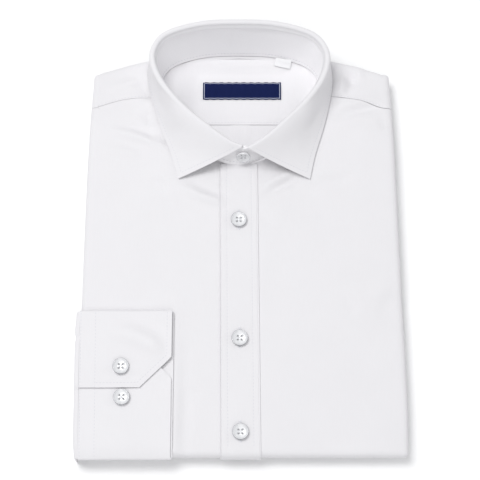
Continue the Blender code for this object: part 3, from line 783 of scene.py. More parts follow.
def add_threads(name, run, material):
    """A run of threads as one piece."""
    shape = stitch_shape()
    rings, sides = shape.shape[:2]
    ring = np.arange(sides)
    low = np.arange(rings - 1)[:, None] * sides + ring
    high = low + sides
    faces = np.stack((low, np.roll(low, -1, axis=1), np.roll(high, -1, axis=1), high), axis=-1)
    faces = faces.reshape(-1, 4)
    along = unit(run.along)
    side = unit(np.cross(run.up, along))
    axes = np.stack((along, side, np.cross(along, side)), axis=1)
    flat = shape.reshape(-1, 3)
    count = len(run.places)
    sized = np.tile(flat, (count, 1, 1))
    sized[..., 0] *= run.length[:, None]
    made = run.places[:, None, :] + np.einsum("spk,skj->spj", sized, axes)
    starts = np.arange(count)[:, None, None] * len(flat)
    data = bpy.data.meshes.new(name)
    data.from_pydata(made.reshape(-1, 3).tolist(), [], (faces[None] + starts).reshape(-1, 4).tolist())
    closed(data, sides).shade_smooth()
    return add_piece(name, data, material)


def stitches(name, lines, material):
    """Rows of stitches on lines of sewing, as one piece."""
    return add_threads(name, joined([sewn(line) for line in lines]), material)


def inset_path(corners, inset):
    """Places along a path of corners, moved to its left by a distance."""
    corners = np.array(corners, float)
    way = unit(np.diff(corners, axis=0))
    left = np.stack((-way[:, 1], way[:, 0]), axis=1)
    before = np.concatenate((left[:1], left))
    after = np.concatenate((left, left[-1:]))
    shift = (before + after) / (1.0 + np.sum(before * after, axis=1, keepdims=True))
    corners = corners + shift * inset
    runs = []
    for a, b in zip(corners, corners[1:]):
        count = max(2, int(np.linalg.norm(b - a) / PATH_STEP))
        runs.append(mix(a, b, np.linspace(0.0, 1.0, count, endpoint=False)[:, None]))
    return np.concatenate(runs + [corners[-1:]])


def path_line(corners, inset, height):
    """A line of sewing along a path of corners, on a surface that lies nearly level."""
    place = inset_path(corners, inset)
    x, y = place.T
    return Line(point(x, y, height(x, y)), np.broadcast_to(UP, (len(x), 3)))


def neck_edge():
    """The neck edge of a front from the middle to the yoke, as distances from the collar's middle."""
    angle = np.linspace(LEAF_END, FRONT_NECK_END, 40)
    clear = FUSED / 2 + 2 * GAP + OVERLAP_STEP * ramp(angle, OVERLAP_RISES)
    place = foot(angle) + outward(foot, angle) * clear[:, None]
    return place[:, 0] - collar_middle(place[:, 1]), place[:, 1]


def front_top(side):
    """The flat part of a front, in columns from the placket to the side fold."""
    out, up = neck_edge()
    shoulder = spaced(SHOULDER_START, NEAR_SIDE, CELL)
    top_x = np.concatenate((side * out + collar_middle(up), side * shoulder))
    top_y = np.concatenate((up, seam_y(shoulder)))
    share = shares(len(top_x)).T
    low = BOTTOM_Y + EDGE_ROUND
    level = shares(FRONT_ROWS)
    y = mix(low, top_y[None, :], level)
    reach = half_width(y, side) - EDGE_ROUND
    bottom_x = side * mix(FRONT_START, reach, share)
    x = mix(bottom_x, top_x[None, :], level)
    x[:, -1] = (side * reach)[:, -1]
    return level_sheet(x, y, front_height(x, y))


def stations(*runs):
    """Stations round an edge from runs of places and their directions."""
    places = []
    ways = []
    for points, way in runs:
        points = np.atleast_2d(points)
        way = np.atleast_2d(np.array(way, float))
        points, way = np.broadcast_arrays(points, way)
        places.append(points)
        ways.append(way)
    return np.concatenate(places), np.concatenate(ways)


def make_front(name, side, cloth):
    """One front: over the top from the placket, round the side fold and the bottom fold."""
    top = front_top(side)
    way = (float(side), 0.0, 0.0)
    edge = top.points
    places, ways = stations(
        (edge[0, :-1], TO_HEM),
        (edge[0, -1], turned_ways(TO_HEM, way, CORNER_STEPS)),
        (edge[1:, -1], way),
    )
    nose = over_edge(places, ways)
    made = add_cloth(name, (top, nose), cloth, SHIRTING_WALL)


def shoulder_top(side):
    """The flat part of the outer yoke on one shoulder, from its front seam to the fold."""
    column = np.append(spaced(SHOULDER_START, NEAR_SIDE, CELL), NEAR_SIDE)[None, :-1]
    y = mix(seam_y(column) + GAP, fold_y(column) - EDGE_ROUND, shares(SHOULDER_ROWS))
    x = side * (column + 0.0 * y)
    x[:, -1] = side * (half_width(y[:, -1], side) - EDGE_ROUND)
    return level_sheet(x, y, shoulder_height(x, y))


def make_outer_yoke(cloth):
    """The outer yoke: both shoulders, over the fold, and the strip behind the neck."""
    tops = [shoulder_top(side) for side in (-1, 1)]
    ends = []
    for top, side in zip(tops, (-1, 1)):
        way = (float(side), 0.0, 0.0)
        edge = top.points
        ends.append(stations(
            (edge[:-1, -1], way),
            (edge[-1, -1], turned_ways(way, TO_NECK, CORNER_STEPS)),
            (edge[-1, -2::-1], TO_NECK),
        ))
    x = spaced(-SHOULDER_START, SHOULDER_START, CELL)[1:-1]
    y = fold_y(x) - EDGE_ROUND
    behind = point(x, y, shoulder_height(x, y))
    places = np.concatenate((ends[0][0], behind, ends[1][0][::-1]))
    ways = np.concatenate((ends[0][1], np.broadcast_to(TO_NECK, behind.shape), ends[1][1][::-1]))
    nose = over_edge(places, ways)
    made = add_cloth("outer_yoke", (*tops, nose), cloth, SHIRTING_WALL)
    columns = np.linspace(0, tops[0].points.shape[1] - 1, 60)
    return [line_on(top.points, YOKE_SEAM_ROW, columns) for top in tops]


def inside_sheet(start, end, rows):
    """The inner yoke or the back, between two places in y. At the back it ends under the stand."""
    x = spaced(-INSIDE_WIDTH / 2, INSIDE_WIDTH / 2, CELL)[None, :]
    behind = foot(STAND_BEHIND)
    under_stand = np.interp(np.abs(x), behind[:, 0], behind[:, 1])
    last = np.minimum(end, np.maximum(fold_y(x) - EDGE_ROUND - CLOTH, under_stand))
    y = mix(start, last, shares(rows))
    x = x + 0.0 * y
    return level_sheet(x, y, inside_height(x, y))


def make_inside(cloth):
    """The inner yoke and the back, as they show inside the neck."""
    yoke = inside_sheet(YOKE_SEAM_Y + INSIDE_SEAM, FOLD_LIMIT_Y, YOKE_ROWS)
    made = add_cloth("inner_yoke", (yoke,), cloth, SHIRTING_WALL)
    back = inside_sheet(INSIDE_DROPS_Y[0], YOKE_SEAM_Y, BACK_ROWS)
    for side in (1.0, -1.0):
        past = back.points[..., 0] * side + PLEAT_HALF
        back.points[..., 2] += PLEAT_RISE * (ramp(past, (0.0, PLEAT_EDGE)) - 1.0)
    made = add_cloth("back", (back,), cloth, SHIRTING_WALL)
    columns = np.linspace(0, yoke.points.shape[1] - 1, 120)
    return [line_on(yoke.points, INSIDE_SEAM_ROW, columns)]


def placket_x(y):
    """The middle line of the placket."""
    return mix(PLACKET_X_BOTTOM, PLACKET_X_TOP, (y - BOTTOM_Y) / PLACKET_LEANS_OVER)


def placket_top(x, y):
    """The top of the placket, pressed in along its two seams and beside its two edges."""
    off = x - placket_x(y)
    press = sum(bell((off - seam) / SEAM_PRESS_WIDTH) for seam in PLACKET_SEAMS)
    rim = bell((np.abs(off) - PLACKET_WIDTH / 2 + RIM_LINE_IN) / RIM_LINE_WIDTH)
    rim = rim * np.where(off < 0.0, *RIM_LINES)
    return front_height(x, y) + PLACKET_LIFT - SEAM_PRESS * press - rim


def make_placket(cloth):
    """The placket strip: on the fronts from the neck, and over the bottom fold."""
    low = BOTTOM_Y + EDGE_ROUND
    top = foot(180.0)[1] - FUSED / 2 - OVERLAP_STEP - GAP
    y = spaced(low, top, CELL)[:, None]
    half = PLACKET_WIDTH / 2
    near_edge = np.linspace(0.0, PLACKET_RIM, 8, endpoint=False)
    between = np.linspace(PLACKET_RIM - half, half - PLACKET_RIM, 55)
    off = np.concatenate((near_edge - half, between, half - near_edge[::-1]))
    x = placket_x(y) + off[None, :]
    y = y + 0.0 * x
    grid = level_sheet(x, y, placket_top(x, y))
    lowered = grid.points[0] - UP * PLACKET_LIFT
    ways = np.broadcast_to(TO_HEM, lowered.shape)
    nose = over_edge(lowered, ways, PLACKET_TURNS, -PLACKET_LIFT)
    made = add_cloth("placket", (grid, nose), cloth, PLACKET_LIFT - GAP)
    rows = np.arange(grid.points.shape[0])
    across = [np.interp(seam, off, np.arange(len(off))) for seam in PLACKET_SEAMS]
    return [line_on(grid.points, rows, column) for column in across]


def roll_radius(angle):
    """The roll at the top of the collar, which flattens toward the front."""
    return mix(CREST_RADIUS, ROLL_AT_FRONT, ramp(np.abs(angle), ROLL_FLATTENS))


def below_crest(angle):
    """How far the seam of stand and leaf lies under the roll: just under it at the front."""
    near = ramp(np.abs(angle), SEAM_RISES) * (1.0 - ramp(np.abs(angle), SEAM_DROPS))
    return mix(SEAM_BELOW_CREST, SEAM_AT_FRONT, near)


def leaf_proud(angle):
    """How far the leaf's inner end stands off the roll's side, toward the neck."""
    return mix(*LEAF_PROUD, ramp(np.abs(angle), PROUD_FADES))


def lapped(angle):
    """The step outward of the collar's upper end, which laps over the lower one."""
    return outward(foot, angle) * (FINE_LAP * ramp(angle, OVERLAP_RISES))[..., None]


def collar_folds(folds, angle, share):
    """Soft folds of the collar as a depth, by angle and share of the way up or down."""
    depth = 0.0
    for fold in folds:
        off = (angle - fold.angle - fold.lean * (share - fold.up)) / fold.wide
        depth = depth + fold.depth * bell(off) * bell((share - fold.up) / fold.tall)
    return depth


def stand_points(angle, height):
    """The stand's middle surface. Its upper end laps outside the lower one."""
    inward = roll_radius(angle) + STAND_INWARD * leaf_proud(angle)
    high = crest(angle) - outward(crest, angle) * inward[..., None]
    high[..., 2] -= below_crest(angle)
    height = np.atleast_1d(height)[:, None]
    low = foot(angle) - UP * STAND_LOWER
    hangs = ramp(angle, STAND_HANGS_FROM)
    low[..., 1] -= STAND_HANGS * hangs
    rest = placket_top(low[..., 0], low[..., 1]) + COLLAR_WALL / 2
    low[..., 2] = mix(low[..., 2], np.maximum(low[..., 2], rest), hangs)
    place = mix(low[None], high[None], height[..., None])
    step = collar_folds(BAND_FOLDS, angle[None], height)
    from_foot = height * np.linalg.norm(high - foot(angle), axis=-1)
    step = step + SEAM_GROOVE * bell((from_foot - BAND_SEAM_UP) / SEAM_GROOVE_WIDTH)
    return place + lapped(angle)[None] + outward(foot, angle)[None] * step[..., None]


def make_collar_stand(cloth):
    """The stand: a band round the neck whose ends lap at the front. Gives its lines of sewing."""
    end = 180.0 + OVERLAP_ANGLE
    angle = np.linspace(-end, end, COLLAR_COLUMNS)
    points = stand_points(angle, np.linspace(0.0, 1.0, STAND_ROWS))
    made = add_cloth("collar_stand", (unrolled(points),), cloth, COLLAR_WALL, 0.0)
    lines = []
    for shown, way in ((np.abs(angle) < INSIDE_SEAM_END, -1), (angle > OUTSIDE_SEAM_START, 1)):
        column = np.flatnonzero(shown)
        row = row_at(arc_lengths(points, 0)[:, column], BAND_SEAM_UP)
        out = way * outward(foot, angle[column])
        lines.append(line_on(points, row, column, COLLAR_WALL / 2, out))
    return lines


def leaf_points(angle):
    """The leaf's middle surface: up from the stand, over the roll and down to its edge."""
    closes = ramp(np.abs(angle), LEAF_CLOSES_FROM) * np.sign(angle)
    near = angle + closes * np.where(angle < 0.0, *LEAF_CLOSES)
    way = outward(crest, near)
    top = crest(near) + lapped(near)
    radius = roll_radius(angle)[:, None]
    proud = leaf_proud(angle)[:, None]
    rise = (below_crest(angle) - 2 * GAP)[:, None] * UP
    rows = [top - way * (radius + proud * drop) - rise * drop for drop in (1.0, 0.75, 0.5, 0.25)]
    slope = ramp(np.abs(angle), LEAVES_FROM)
    leaves = np.radians(LEAF_LEAVES * slope)[:, None]
    for share in np.linspace(0.0, 1.0, ROLL_ROWS):
        swing = mix(math.pi, leaves, share)
        rows.append(top + radius * (way * np.cos(swing) + UP * np.sin(swing)))
    start = rows[-1]
    end = leaf_edge(angle)
    end[:, 2] += smoothed(np.maximum(relief(end[:, 0], end[:, 1]), LEAF_SINKS), LEAF_SMOOTH)
    fall = (start[:, 2:] - end[:, 2:]) * UP
    steep = start - STEEP_PULL[0] * fall + (end - start) * STEEP_PULL[1]
    length = SLOPE_PULL * np.linalg.norm(end - start, axis=-1, keepdims=True)
    to_edge = unit((end - start) * (1.0, 1.0, 0.0))
    heading = mix(way, to_edge, ramp(np.abs(angle), HEADS_ASIDE)[:, None])
    sloped = start + length * (heading * np.sin(leaves) - UP * np.cos(leaves))
    pull = mix(steep, sloped, slope[:, None])
    ease_in = mix(end, start, EDGE_PULL) - LEAF_SAGS * fall
    for t in np.linspace(0.0, 1.0, LEAF_ROWS)[1:]:
        u = 1.0 - t
        rows.append(start * u**3 + pull * (3 * u * u * t) + ease_in * (3 * u * t * t) + end * t**3)
    points = softened(np.array(rows), angle)
    lowest = shoulder_height(points[..., 0], points[..., 1]) + COLLAR_WALL / 2 + LEAF_CLEAR
    sunk = np.maximum(lowest - points[..., 2], 0.0)[-LEAF_RIM_ROWS:].max(axis=0)
    near = [np.roll(sunk, step) for step in range(-(LEAF_SMOOTH // 2), LEAF_SMOOTH // 2 + 1)]
    lift = smoothed(np.max(near, axis=0), LEAF_SMOOTH)
    level = points[-LEAF_ROWS:, :, 2]
    level += lift * shares(LEAF_ROWS) ** 2
    np.maximum(level, lowest[-LEAF_ROWS:], out=level)
    return points


def smoothed(values, count):
    """Values along a line, each averaged with its neighbours. The count is odd."""
    share = np.hanning(count + 2)[1:-1]
    return np.convolve(np.pad(values, count // 2, mode="edge"), share / share.sum(), "valid")


def softened(points, angle):
    """The leaf with its soft hollows and swells, by angle and share of the way from roll to edge."""
    share = shares(LEAF_ROWS)
    depth = collar_folds(LEAF_FOLDS, angle[None], share) * np.sin(np.pi * share) ** 0.5
    normal = normals_of(points)[-LEAF_ROWS:]
    points[-LEAF_ROWS:] -= normal * np.sign(normal[..., 2:]) * depth[..., None]
    return points


def row_at(lengths, wanted):
    """The places between rows where the length down each column has a value."""
    rows = np.arange(lengths.shape[0])
    wanted = np.broadcast_to(wanted, lengths.shape[1])
    return np.array([np.interp(w, column, rows) for w, column in zip(wanted, lengths.T)])


def make_collar_leaf(cloth):
    """The leaf: one piece with a point at each end, turned down over the stand."""
    points = leaf_points(np.linspace(-LEAF_END, LEAF_END, COLLAR_COLUMNS))
    made = add_cloth("collar_leaf", (unrolled(points),), cloth, COLLAR_WALL, 0.0)
    return leaf_lines(points)


def leaf_lines(points):
    """The leaf's lines of sewing: inside its long edge, and inside the edge at each end."""
    down = arc_lengths(points, 0)
    across = arc_lengths(points, 1)
    column = row_at(across.T, EDGE_SEAM_IN)
    other = row_at(across.T, across[:, -1] - EDGE_SEAM_IN)
    row = row_at(down, down[-1] - EDGE_SEAM_IN)
    lift = COLLAR_WALL / 2
    first, last = column[LEAF_SEAM_ROW], other[LEAF_SEAM_ROW]
    columns = np.linspace(first, last, 400)
    lines = [line_on(points, np.interp(columns, np.arange(len(row)), row), columns, lift)]
    rows = np.linspace(LEAF_SEAM_START, np.interp(first, np.arange(len(row)), row), 60)
    for ends in (column, other):
        place = np.interp(rows, np.arange(len(ends)), ends)
        lines.append(line_on(points, rows, place, lift))
    return lines


def cuff_rest(x, y):
    """The level that the cuff lies on. It droops over the body's lower fold."""
    share = np.maximum(0.0, (CUFF_DROOPS_FROM - y) / (CUFF_DROOPS_FROM - FINE_CUFF_DOWN))
    return front_height(x, y) + 1.5 * GAP - CUFF_DROOP * share**2


def at_cuff(ends, y):
    """A value along the cuff, from its lower fold to its upper one."""
    return mix(ends[0], ends[1], (y - FINE_CUFF_DOWN) / (CUFF_UP - FINE_CUFF_DOWN))


def cut_corner(y, end, mitre):
    """The right edge of a cuff end, cut off at its corner by a mitre."""
    past = np.maximum(0.0, 1.0 - np.abs(y - end) / mitre[1])
    return FINE_CUFF_RIGHT - mitre[0] * past


# Steps of the cuff's section: a y, a height above what it lies on, and its right edge
Steps = namedtuple("Steps", "y lift right")


def cuff_fold(y, reach, start, end, right, turns):
    """Steps of the cuff's section round one of its two folds."""
    swing = np.radians(np.array(turns, float))
    lift = mix(end, start, (1.0 + np.cos(swing)) / 2.0)
    return Steps(y + reach * np.sin(swing), lift, right + 0.0 * lift)


def cuff_run(start, end, lift, right):
    """Steps of the cuff's section along one of its flat parts. right is a value or a function."""
    y = spaced(start, end, CELL)
    return Steps(y, lift + 0.0 * y, (right(y) if callable(right) else right) + 0.0 * y)


def cuff_section():
    """The cuff from its buttonhole end over both folds to its button end."""
    backing = FUSED / 2
    under = backing + CUFF_STEP
    flap = under + CUFF_STEP
    top = CUFF_UP - CUFF_ROUND_UP
    bottom = FINE_CUFF_DOWN + CUFF_ROUND_DOWN
    shown = FINE_CUFF_RIGHT + CUFF_BACK_SHOWS
    turns = range(15, 166, 15)
    runs = (
        cuff_run(FLAP_END, top, flap, lambda y: cut_corner(y, FLAP_END, FLAP_MITRE)),
        cuff_fold(top, CUFF_ROUND_UP, flap, backing, FINE_CUFF_RIGHT, turns),
        cuff_run(top, bottom, backing, shown),
        cuff_fold(bottom, -CUFF_ROUND_DOWN, backing, under, mix(FINE_CUFF_RIGHT, shown, 0.5), turns),
        cuff_run(bottom, UNDER_END, under, lambda y: cut_corner(y, UNDER_END, UNDER_MITRE)),
    )
    return Steps(*(np.concatenate(column) for column in zip(*runs)))


def make_cuff(cloth):
    """The cuff: a flat tube whose buttonhole end laps over its button end."""
    section = cuff_section()
    x = mix(at_cuff(FINE_CUFF_LEFT, section.y)[:, None], section.right[:, None], shares(CUFF_COLUMNS).T)
    y = section.y[:, None] + 0.0 * x
    points = point(x, y, cuff_rest(x, y) + section.lift[:, None])
    made = add_cloth("cuff_right", (unrolled(points),), cloth, CUFF_WALL, 0.0)
    return cuff_lines()


def cuff_lines():
    """The cuff's sewing: by the sleeve, across it, and inside the edge of each end."""
    top = CUFF_UP - CUFF_SEAM_STOPS
    flap = FUSED / 2 + 2 * CUFF_STEP + CUFF_WALL / 2
    under = flap - CUFF_STEP
    edge = (
        (at_cuff(FINE_CUFF_LEFT, FLAP_END) + CUFF_SEAMS[1], FLAP_END),
        (FINE_CUFF_RIGHT - FLAP_MITRE[0], FLAP_END),
        (FINE_CUFF_RIGHT, FLAP_END + FLAP_MITRE[1]),
        (FINE_CUFF_RIGHT, top),
    )
    lines = [path_line(edge, EDGE_SEAM_IN, lambda x, y: cuff_rest(x, y) + flap)]
    bottom = FINE_CUFF_DOWN + CUFF_SEAM_STOPS
    for seam in CUFF_SEAMS:
        for start, end, lift in ((top, FLAP_END, flap), (FLAP_END, bottom, under)):
            path = [(at_cuff(FINE_CUFF_LEFT, y) + seam, y) for y in (start, end)]
            lines.append(path_line(path, 0.0, lambda x, y, lift=lift: cuff_rest(x, y) + lift))
    return lines


def sleeve_column(y, low, x, z):
    """A column of the sleeve, whose lower end stops at a place of its own."""
    top = y[-1]
    return point(x, top + (y - top) * (top - low) / (top - y[0]), z)


def curled(grid, inward):
    """A sleeve's grid with its two ends turned in, toward the body that it goes round."""
    rows = []
    for end, way in ((0, -1.0), (-1, 1.0)):
        for angle in (90, 60, 30):
            swing = math.radians(angle)
            past = grid[:, end] + inward * (SLEEVE_CURL * (1.0 - math.cos(swing)))
            rows.append(past + np.array((0.0, way * SLEEVE_CURL * math.sin(swing), 0.0)))
    low = np.stack(rows[:3], axis=1)
    high = np.stack(rows[:2:-1], axis=1)
    return np.concatenate((low, grid, high), axis=1)


def make_sleeve(cloth):
    """The sleeve's end: from under the body, round its left fold and up to the cuff."""
    half = SLEEVE_WALL / 2
    y = spaced(FINE_CUFF_DOWN + SLEEVE_SEAM_IN, CUFF_UP - SLEEVE_SEAM_IN, CELL)
    share = np.linspace(0.0, 1.0, len(y))
    pinch = SLEEVE_PINCH * (1.0 - ramp(np.minimum(share, 1.0 - share), SLEEVE_PINCHED_ENDS))
    pinch = pinch + SLEEVE_TUCK * bell((y - SLEEVE_TUCK_Y) / SLEEVE_TUCK_WIDTH)
    on_flap = ramp(y, (FLAP_END - FLAP_STEP_SOFT, FLAP_END + FLAP_STEP_SOFT))
    seam = at_cuff(FINE_CUFF_LEFT, y)
    top = cuff_rest(seam, y) + half + (1.0 + on_flap) * CUFF_STEP - pinch - SLEEVE_BELOW_CUFF
    turn_x = seam - SLEEVE_PINCH
    reach = turn_x - (at_cuff(FINE_SLEEVE_OUT, y) + half + pinch)
    columns = []
    inward = []
    for share in np.linspace(0.0, 1.0, 8, endpoint=False):
        columns.append(sleeve_column(y, SLEEVE_LOW_END, mix(SLEEVE_UNDER, turn_x, share), half))
        inward.append((0.0, 0.0, 1.0))
    for angle in range(0, 91, 15):
        swing = math.radians(angle)
        low = mix(SLEEVE_LOW_END, y[0], angle / 90)
        x = turn_x - reach * math.sin(swing)
        columns.append(sleeve_column(y, low, x, half + reach * (1 - math.cos(swing))))
        inward.append((math.sin(swing), 0.0, math.cos(swing)))
    for angle in range(90, -1, -15):
        swing = math.radians(angle)
        columns.append(point(turn_x - reach * math.sin(swing), y, top - reach * (1 - math.cos(swing))))
        inward.append((math.sin(swing), 0.0, -math.cos(swing)))
    columns.append(point(seam - SLEEVE_TO_CUFF, y, top))
    inward.append((0.0, 0.0, -1.0))
    sheet = unrolled(curled(np.array(columns), np.array(inward)), 0)
    made = add_cloth("sleeve_right", (sheet,), cloth, SLEEVE_WALL - CLOTH / 2, 0.0)


def patch(node, sheet, material):
    """A small label that lies on the inner yoke."""
    name = f"{node}_woven"
    made = add_piece(name, grid_mesh(name, (sheet,)), material, (node,))
    thicken(made, LABEL_WALL, -1.0)


def patch_grid(centre, size, turn):
    """Places over a label, and the distances across and down it."""
    across = (shares(LABEL_CELLS[0]).T - 0.5) * size[0]
    down = (shares(LABEL_CELLS[1]) - 0.5) * size[1]
    across, down = np.broadcast_arrays(across, down)
    x = centre[0] + across * math.cos(turn) - down * math.sin(turn)
    y = centre[1] + across * math.sin(turn) + down * math.cos(turn)
    return x, y, across, down


def make_neck_label():
    """The neck label, a little puckered where it is sewn on at its long edges."""
    x, y, across, down = patch_grid(LABEL_CENTRE, LABEL_SIZE, 0.0)
    edge = np.abs(down / LABEL_SIZE[1] * 2) ** 4
    long, short = (across * 2 * np.pi / ripple for ripple in LABEL_RIPPLES)
    pucker = np.sin(long) + 0.7 * np.sin(short + 1.0)
    y = y + LABEL_PUCKER * pucker * edge * np.sign(down)
    z = inside_height(x, y) + GAP + LABEL_WALL + LABEL_PUCKER * (1.0 - edge) * (1.5 + 0.5 * pucker)
    sheet = Sheet(point(x, y, z), np.stack((across, down), axis=-1))
    patch("neck_label", sheet, label_material())


def make_size_tab(satin):
    """The size tab, which hangs from the stand's seam onto the inner yoke."""
    x, y, across, down = patch_grid(FINE_TAB_CENTRE, FINE_TAB_SIZE, TAB_TURN)
    rise = TAB_RISE * ramp(down / FINE_TAB_SIZE[1], (-0.2, 0.5))
    z = inside_height(x, y) + 3 * GAP + LABEL_WALL + rise
    sheet = Sheet(point(x, y, z), np.stack((across, down), axis=-1))
    patch("size_tab", sheet, satin)


def core_top():
    """The top of the hidden layers, which nothing shows: a grid under the cloth on top."""
    low = BOTTOM_Y + EDGE_ROUND
    share = np.linspace(-1.0, 1.0, LAYERS_COLUMNS)[None, :]
    level = shares(LAYERS_ROWS)
    column = share * NEAR_SIDE
    y = mix(low, fold_y(column) - EDGE_ROUND, level)
    reach = np.where(share < 0, half_width(y, -1), half_width(y, 1)) - EDGE_ROUND
    x = mix(share * reach, column, level)
    edge = np.abs(share) > 0.999
    x = np.where(edge, share * reach, x)
    under_outside = shoulder_height(x, y)
    neck = (1.0 - ramp(np.abs(x), NECK_FLOOR_X)) * ramp(y, NECK_FLOOR_Y)
    z = np.minimum(under_outside, mix(under_outside, inside_height(x, y), neck))
    return point(x, y, z - CLOTH - 2 * GAP - LAYERS_BELOW)


def sway(length, start):
    """A slow, uneven wave along the folded edges, from -1 to 1."""
    turn = 2 * np.pi * length
    return sum(size * np.sin(turn / apart + shift * start) for apart, shift, size in SWAYS) / 2.0


def layered_side(places, ways):
    """The hidden layers' edges: rounded folds on each other, from the top down to the floor."""
    length = arc_lengths(places[None], 1)[0]
    fold = STACK / FOLDS
    columns = []
    for inset, z in ((EDGE_ROUND, STACK + LAYERS_LIP), (EDGE_ROUND, STACK)):
        columns.append((inset + 0.0 * length, z))
    for k in reversed(range(FOLDS)):
        inset = FOLD_INSETS[k] + FOLD_SWAY * sway(length, 1.0 + 1.7 * k)
        for turn in FOLD_TURNS:
            swing = math.radians(turn)
            reach = inset + FOLD_GROOVE * (1.0 - math.cos(swing)) * 0.9
            columns.append((reach, fold * (k + 0.5 - 0.5 * math.sin(swing))))
    columns.append((UNDERSIDE_INSET + 0.0 * length, 0.0))
    grid = []
    for inset, z in columns:
        place = places + ways * (EDGE_ROUND - inset)[:, None]
        place[:, 2] = z
        if z < fold * NOTCHED_FOLDS:
            place[:, 0] = np.where(place[:, 1] < NOTCH_Y, np.maximum(place[:, 0], NOTCH_X), place[:, 0])
        grid.append(place)
    return np.array(grid).transpose(1, 0, 2)


def make_folded_layers(cloth):
    """The hidden layers as one rounded solid with layered edges and a flat underside."""
    top = core_top()
    left = (-1.0, 0.0, 0.0)
    right = (1.0, 0.0, 0.0)
    places, ways = stations(
        (top[0, :-1], TO_HEM),
        (top[0, -1], turned_ways(TO_HEM, right, CORNER_STEPS)),
        (top[1:-1, -1], right),
        (top[-1, -1], turned_ways(right, TO_NECK, CORNER_STEPS)),
        (top[-1, -2:0:-1], TO_NECK),
        (top[-1, 0], turned_ways(TO_NECK, left, CORNER_STEPS)),
        (top[-2:0:-1, 0], left),
        (top[0, 0], turned_ways(left, TO_HEM, CORNER_STEPS)),
    )
    side = layered_side(places, ways)
    lip = places[:, None, :]
    wall = np.concatenate((lip, side), axis=1)
    length = arc_lengths(wall, 1)
    flat = wall[:, :1, :2] + ways[:, None, :2] * length[..., None]
    sheets = (Sheet(top, top[..., :2]), Sheet(wall, flat))
    data = closed(grid_mesh("folded_layers", sheets), 0)
    made = add_piece("folded_layers_cloth", data, cloth, ("folded_layers",))


# A button's section as shares of its radius and height, the painted shade at its rim and on the rim's
# inner side as shares of its radius, its holes, and the threads of its buttonhole
BUTTON_SECTION = (
    (0.00, 0.60), (0.35, 0.60), (0.60, 0.64), (0.76, 0.74), (0.85, 0.88), (0.91, 0.98), (0.95, 1.00),
    (0.99, 0.92), (1.00, 0.76), (0.98, 0.54), (0.90, 0.30), (0.70, 0.10), (0.50, 0.02), (0.00, 0.00),
)
BUTTON_SIDES = 40
BUTTON_RIM_SHADE = (0.91, 0.97)
BUTTON_DISH_SHADE = (0.84, 0.05)
HOLE_RADIUS = 0.0007
HOLE_CIRCLE = 0.0020
DISH_TOP = 0.0017
BUTTONHOLE = 0.0150
BUTTONHOLE_UP = 0.0005
BUTTONHOLE_HALF_WIDTH = 0.0006
BUTTONHOLE_PITCH = 0.00048
BUTTONHOLE_STITCH = 0.0011
BAR_STITCH = 0.0022
BAR_PITCH = 0.0004
THREAD_UP = 0.00008
THREAD_PAST_HOLE = 0.0007


def in_order(data):
    """A mesh with its points and faces in an order that stays the same from run to run."""
    places = sorted(tuple(vertex.co) for vertex in data.vertices)
    rank = {place: n for n, place in enumerate(places)}
    faces = [[rank[tuple(data.vertices[n].co)] for n in face.vertices] for face in data.polygons]
    data.clear_geometry()
    data.from_pydata(places, [], sorted(faces))
    return data


def button_mesh(name, radius):
    """A rimmed button turned from its section, still without its holes."""
    mesh = bmesh.new()
    points = [mesh.verts.new((out * radius, 0.0, up * BUTTON_WALL)) for out, up in BUTTON_SECTION]
    edges = [mesh.edges.new(pair) for pair in zip(points, points[1:])]
    bmesh.ops.spin(
        mesh, geom=points + edges, cent=(0, 0, 0), axis=(0, 0, 1), angle=math.tau,
        steps=BUTTON_SIDES, use_merge=True, use_duplicate=False
    )
    bmesh.ops.remove_doubles(mesh, verts=mesh.verts, dist=WELD)
    bmesh.ops.recalc_face_normals(mesh, faces=mesh.faces)
    data = in_order(kept(mesh, bpy.data.meshes.new(name)))
    data.shade_smooth()
    return data


def holes_mesh(name):
    """Four pins that cut a button's holes."""
    mesh = bmesh.new()
    for n in range(4):
        turn = math.radians(45 + 90 * n)
        pin = bmesh.ops.create_cone(
            mesh, cap_ends=True, segments=14, radius1=HOLE_RADIUS, radius2=HOLE_RADIUS, depth=0.01
        )
        away = Vector((math.cos(turn), math.sin(turn), 0.0)) * HOLE_CIRCLE
        bmesh.ops.translate(mesh, verts=pin["verts"], vec=away)
    return kept(mesh, bpy.data.meshes.new(name))


def drilled(data):
    """A button's mesh with its holes cut."""
    body = add_object("drilled", data)
    pins = add_object("pins", holes_mesh("pins"))
    cut = body.modifiers.new("holes", "BOOLEAN")
    cut.operation = "DIFFERENCE"
    cut.solver = "EXACT"
    cut.object = pins
    depsgraph = bpy.context.evaluated_depsgraph_get()
    made = bpy.data.meshes.new_from_object(body.evaluated_get(depsgraph))
    bpy.data.objects.remove(body)
    bpy.data.objects.remove(pins)
    return made


def place_button(node, place, facing, data, resin, ways):
    """Put a button on the cloth, and give the threads that hold it."""
    made = add_piece(f"{node}_fine", data.copy(), resin, (node,))
    turn = Vector(UP).rotation_difference(facing)
    made.location = place + facing * GAP
    made.rotation_mode = "QUATERNION"
    made.rotation_quaternion = turn
    hole = HOLE_CIRCLE * math.sqrt(0.5)
    places = []
    along = []
    for way_x, way_y, off_x, off_y in ways:
        places.append(made.location + turn @ Vector((off_x * hole, off_y * hole, DISH_TOP)))
        along.append(turn @ Vector((way_x, way_y, 0.0)))
    count = len(places)
    up = np.array([facing] * count)
    length = 2 * hole * np.linalg.norm(np.array(along), axis=1) + THREAD_PAST_HOLE
    return Threads(np.array(places), np.array(along), up, length)


SEWN_UPRIGHT = ((0, 1, -1, 0), (0, 1, 1, 0))
SEWN_LEVEL = ((1, 0, 0, -1), (1, 0, 0, 1))
SEWN_CROSSED = ((1, 1, 0, 0), (1, -1, 0, 0))


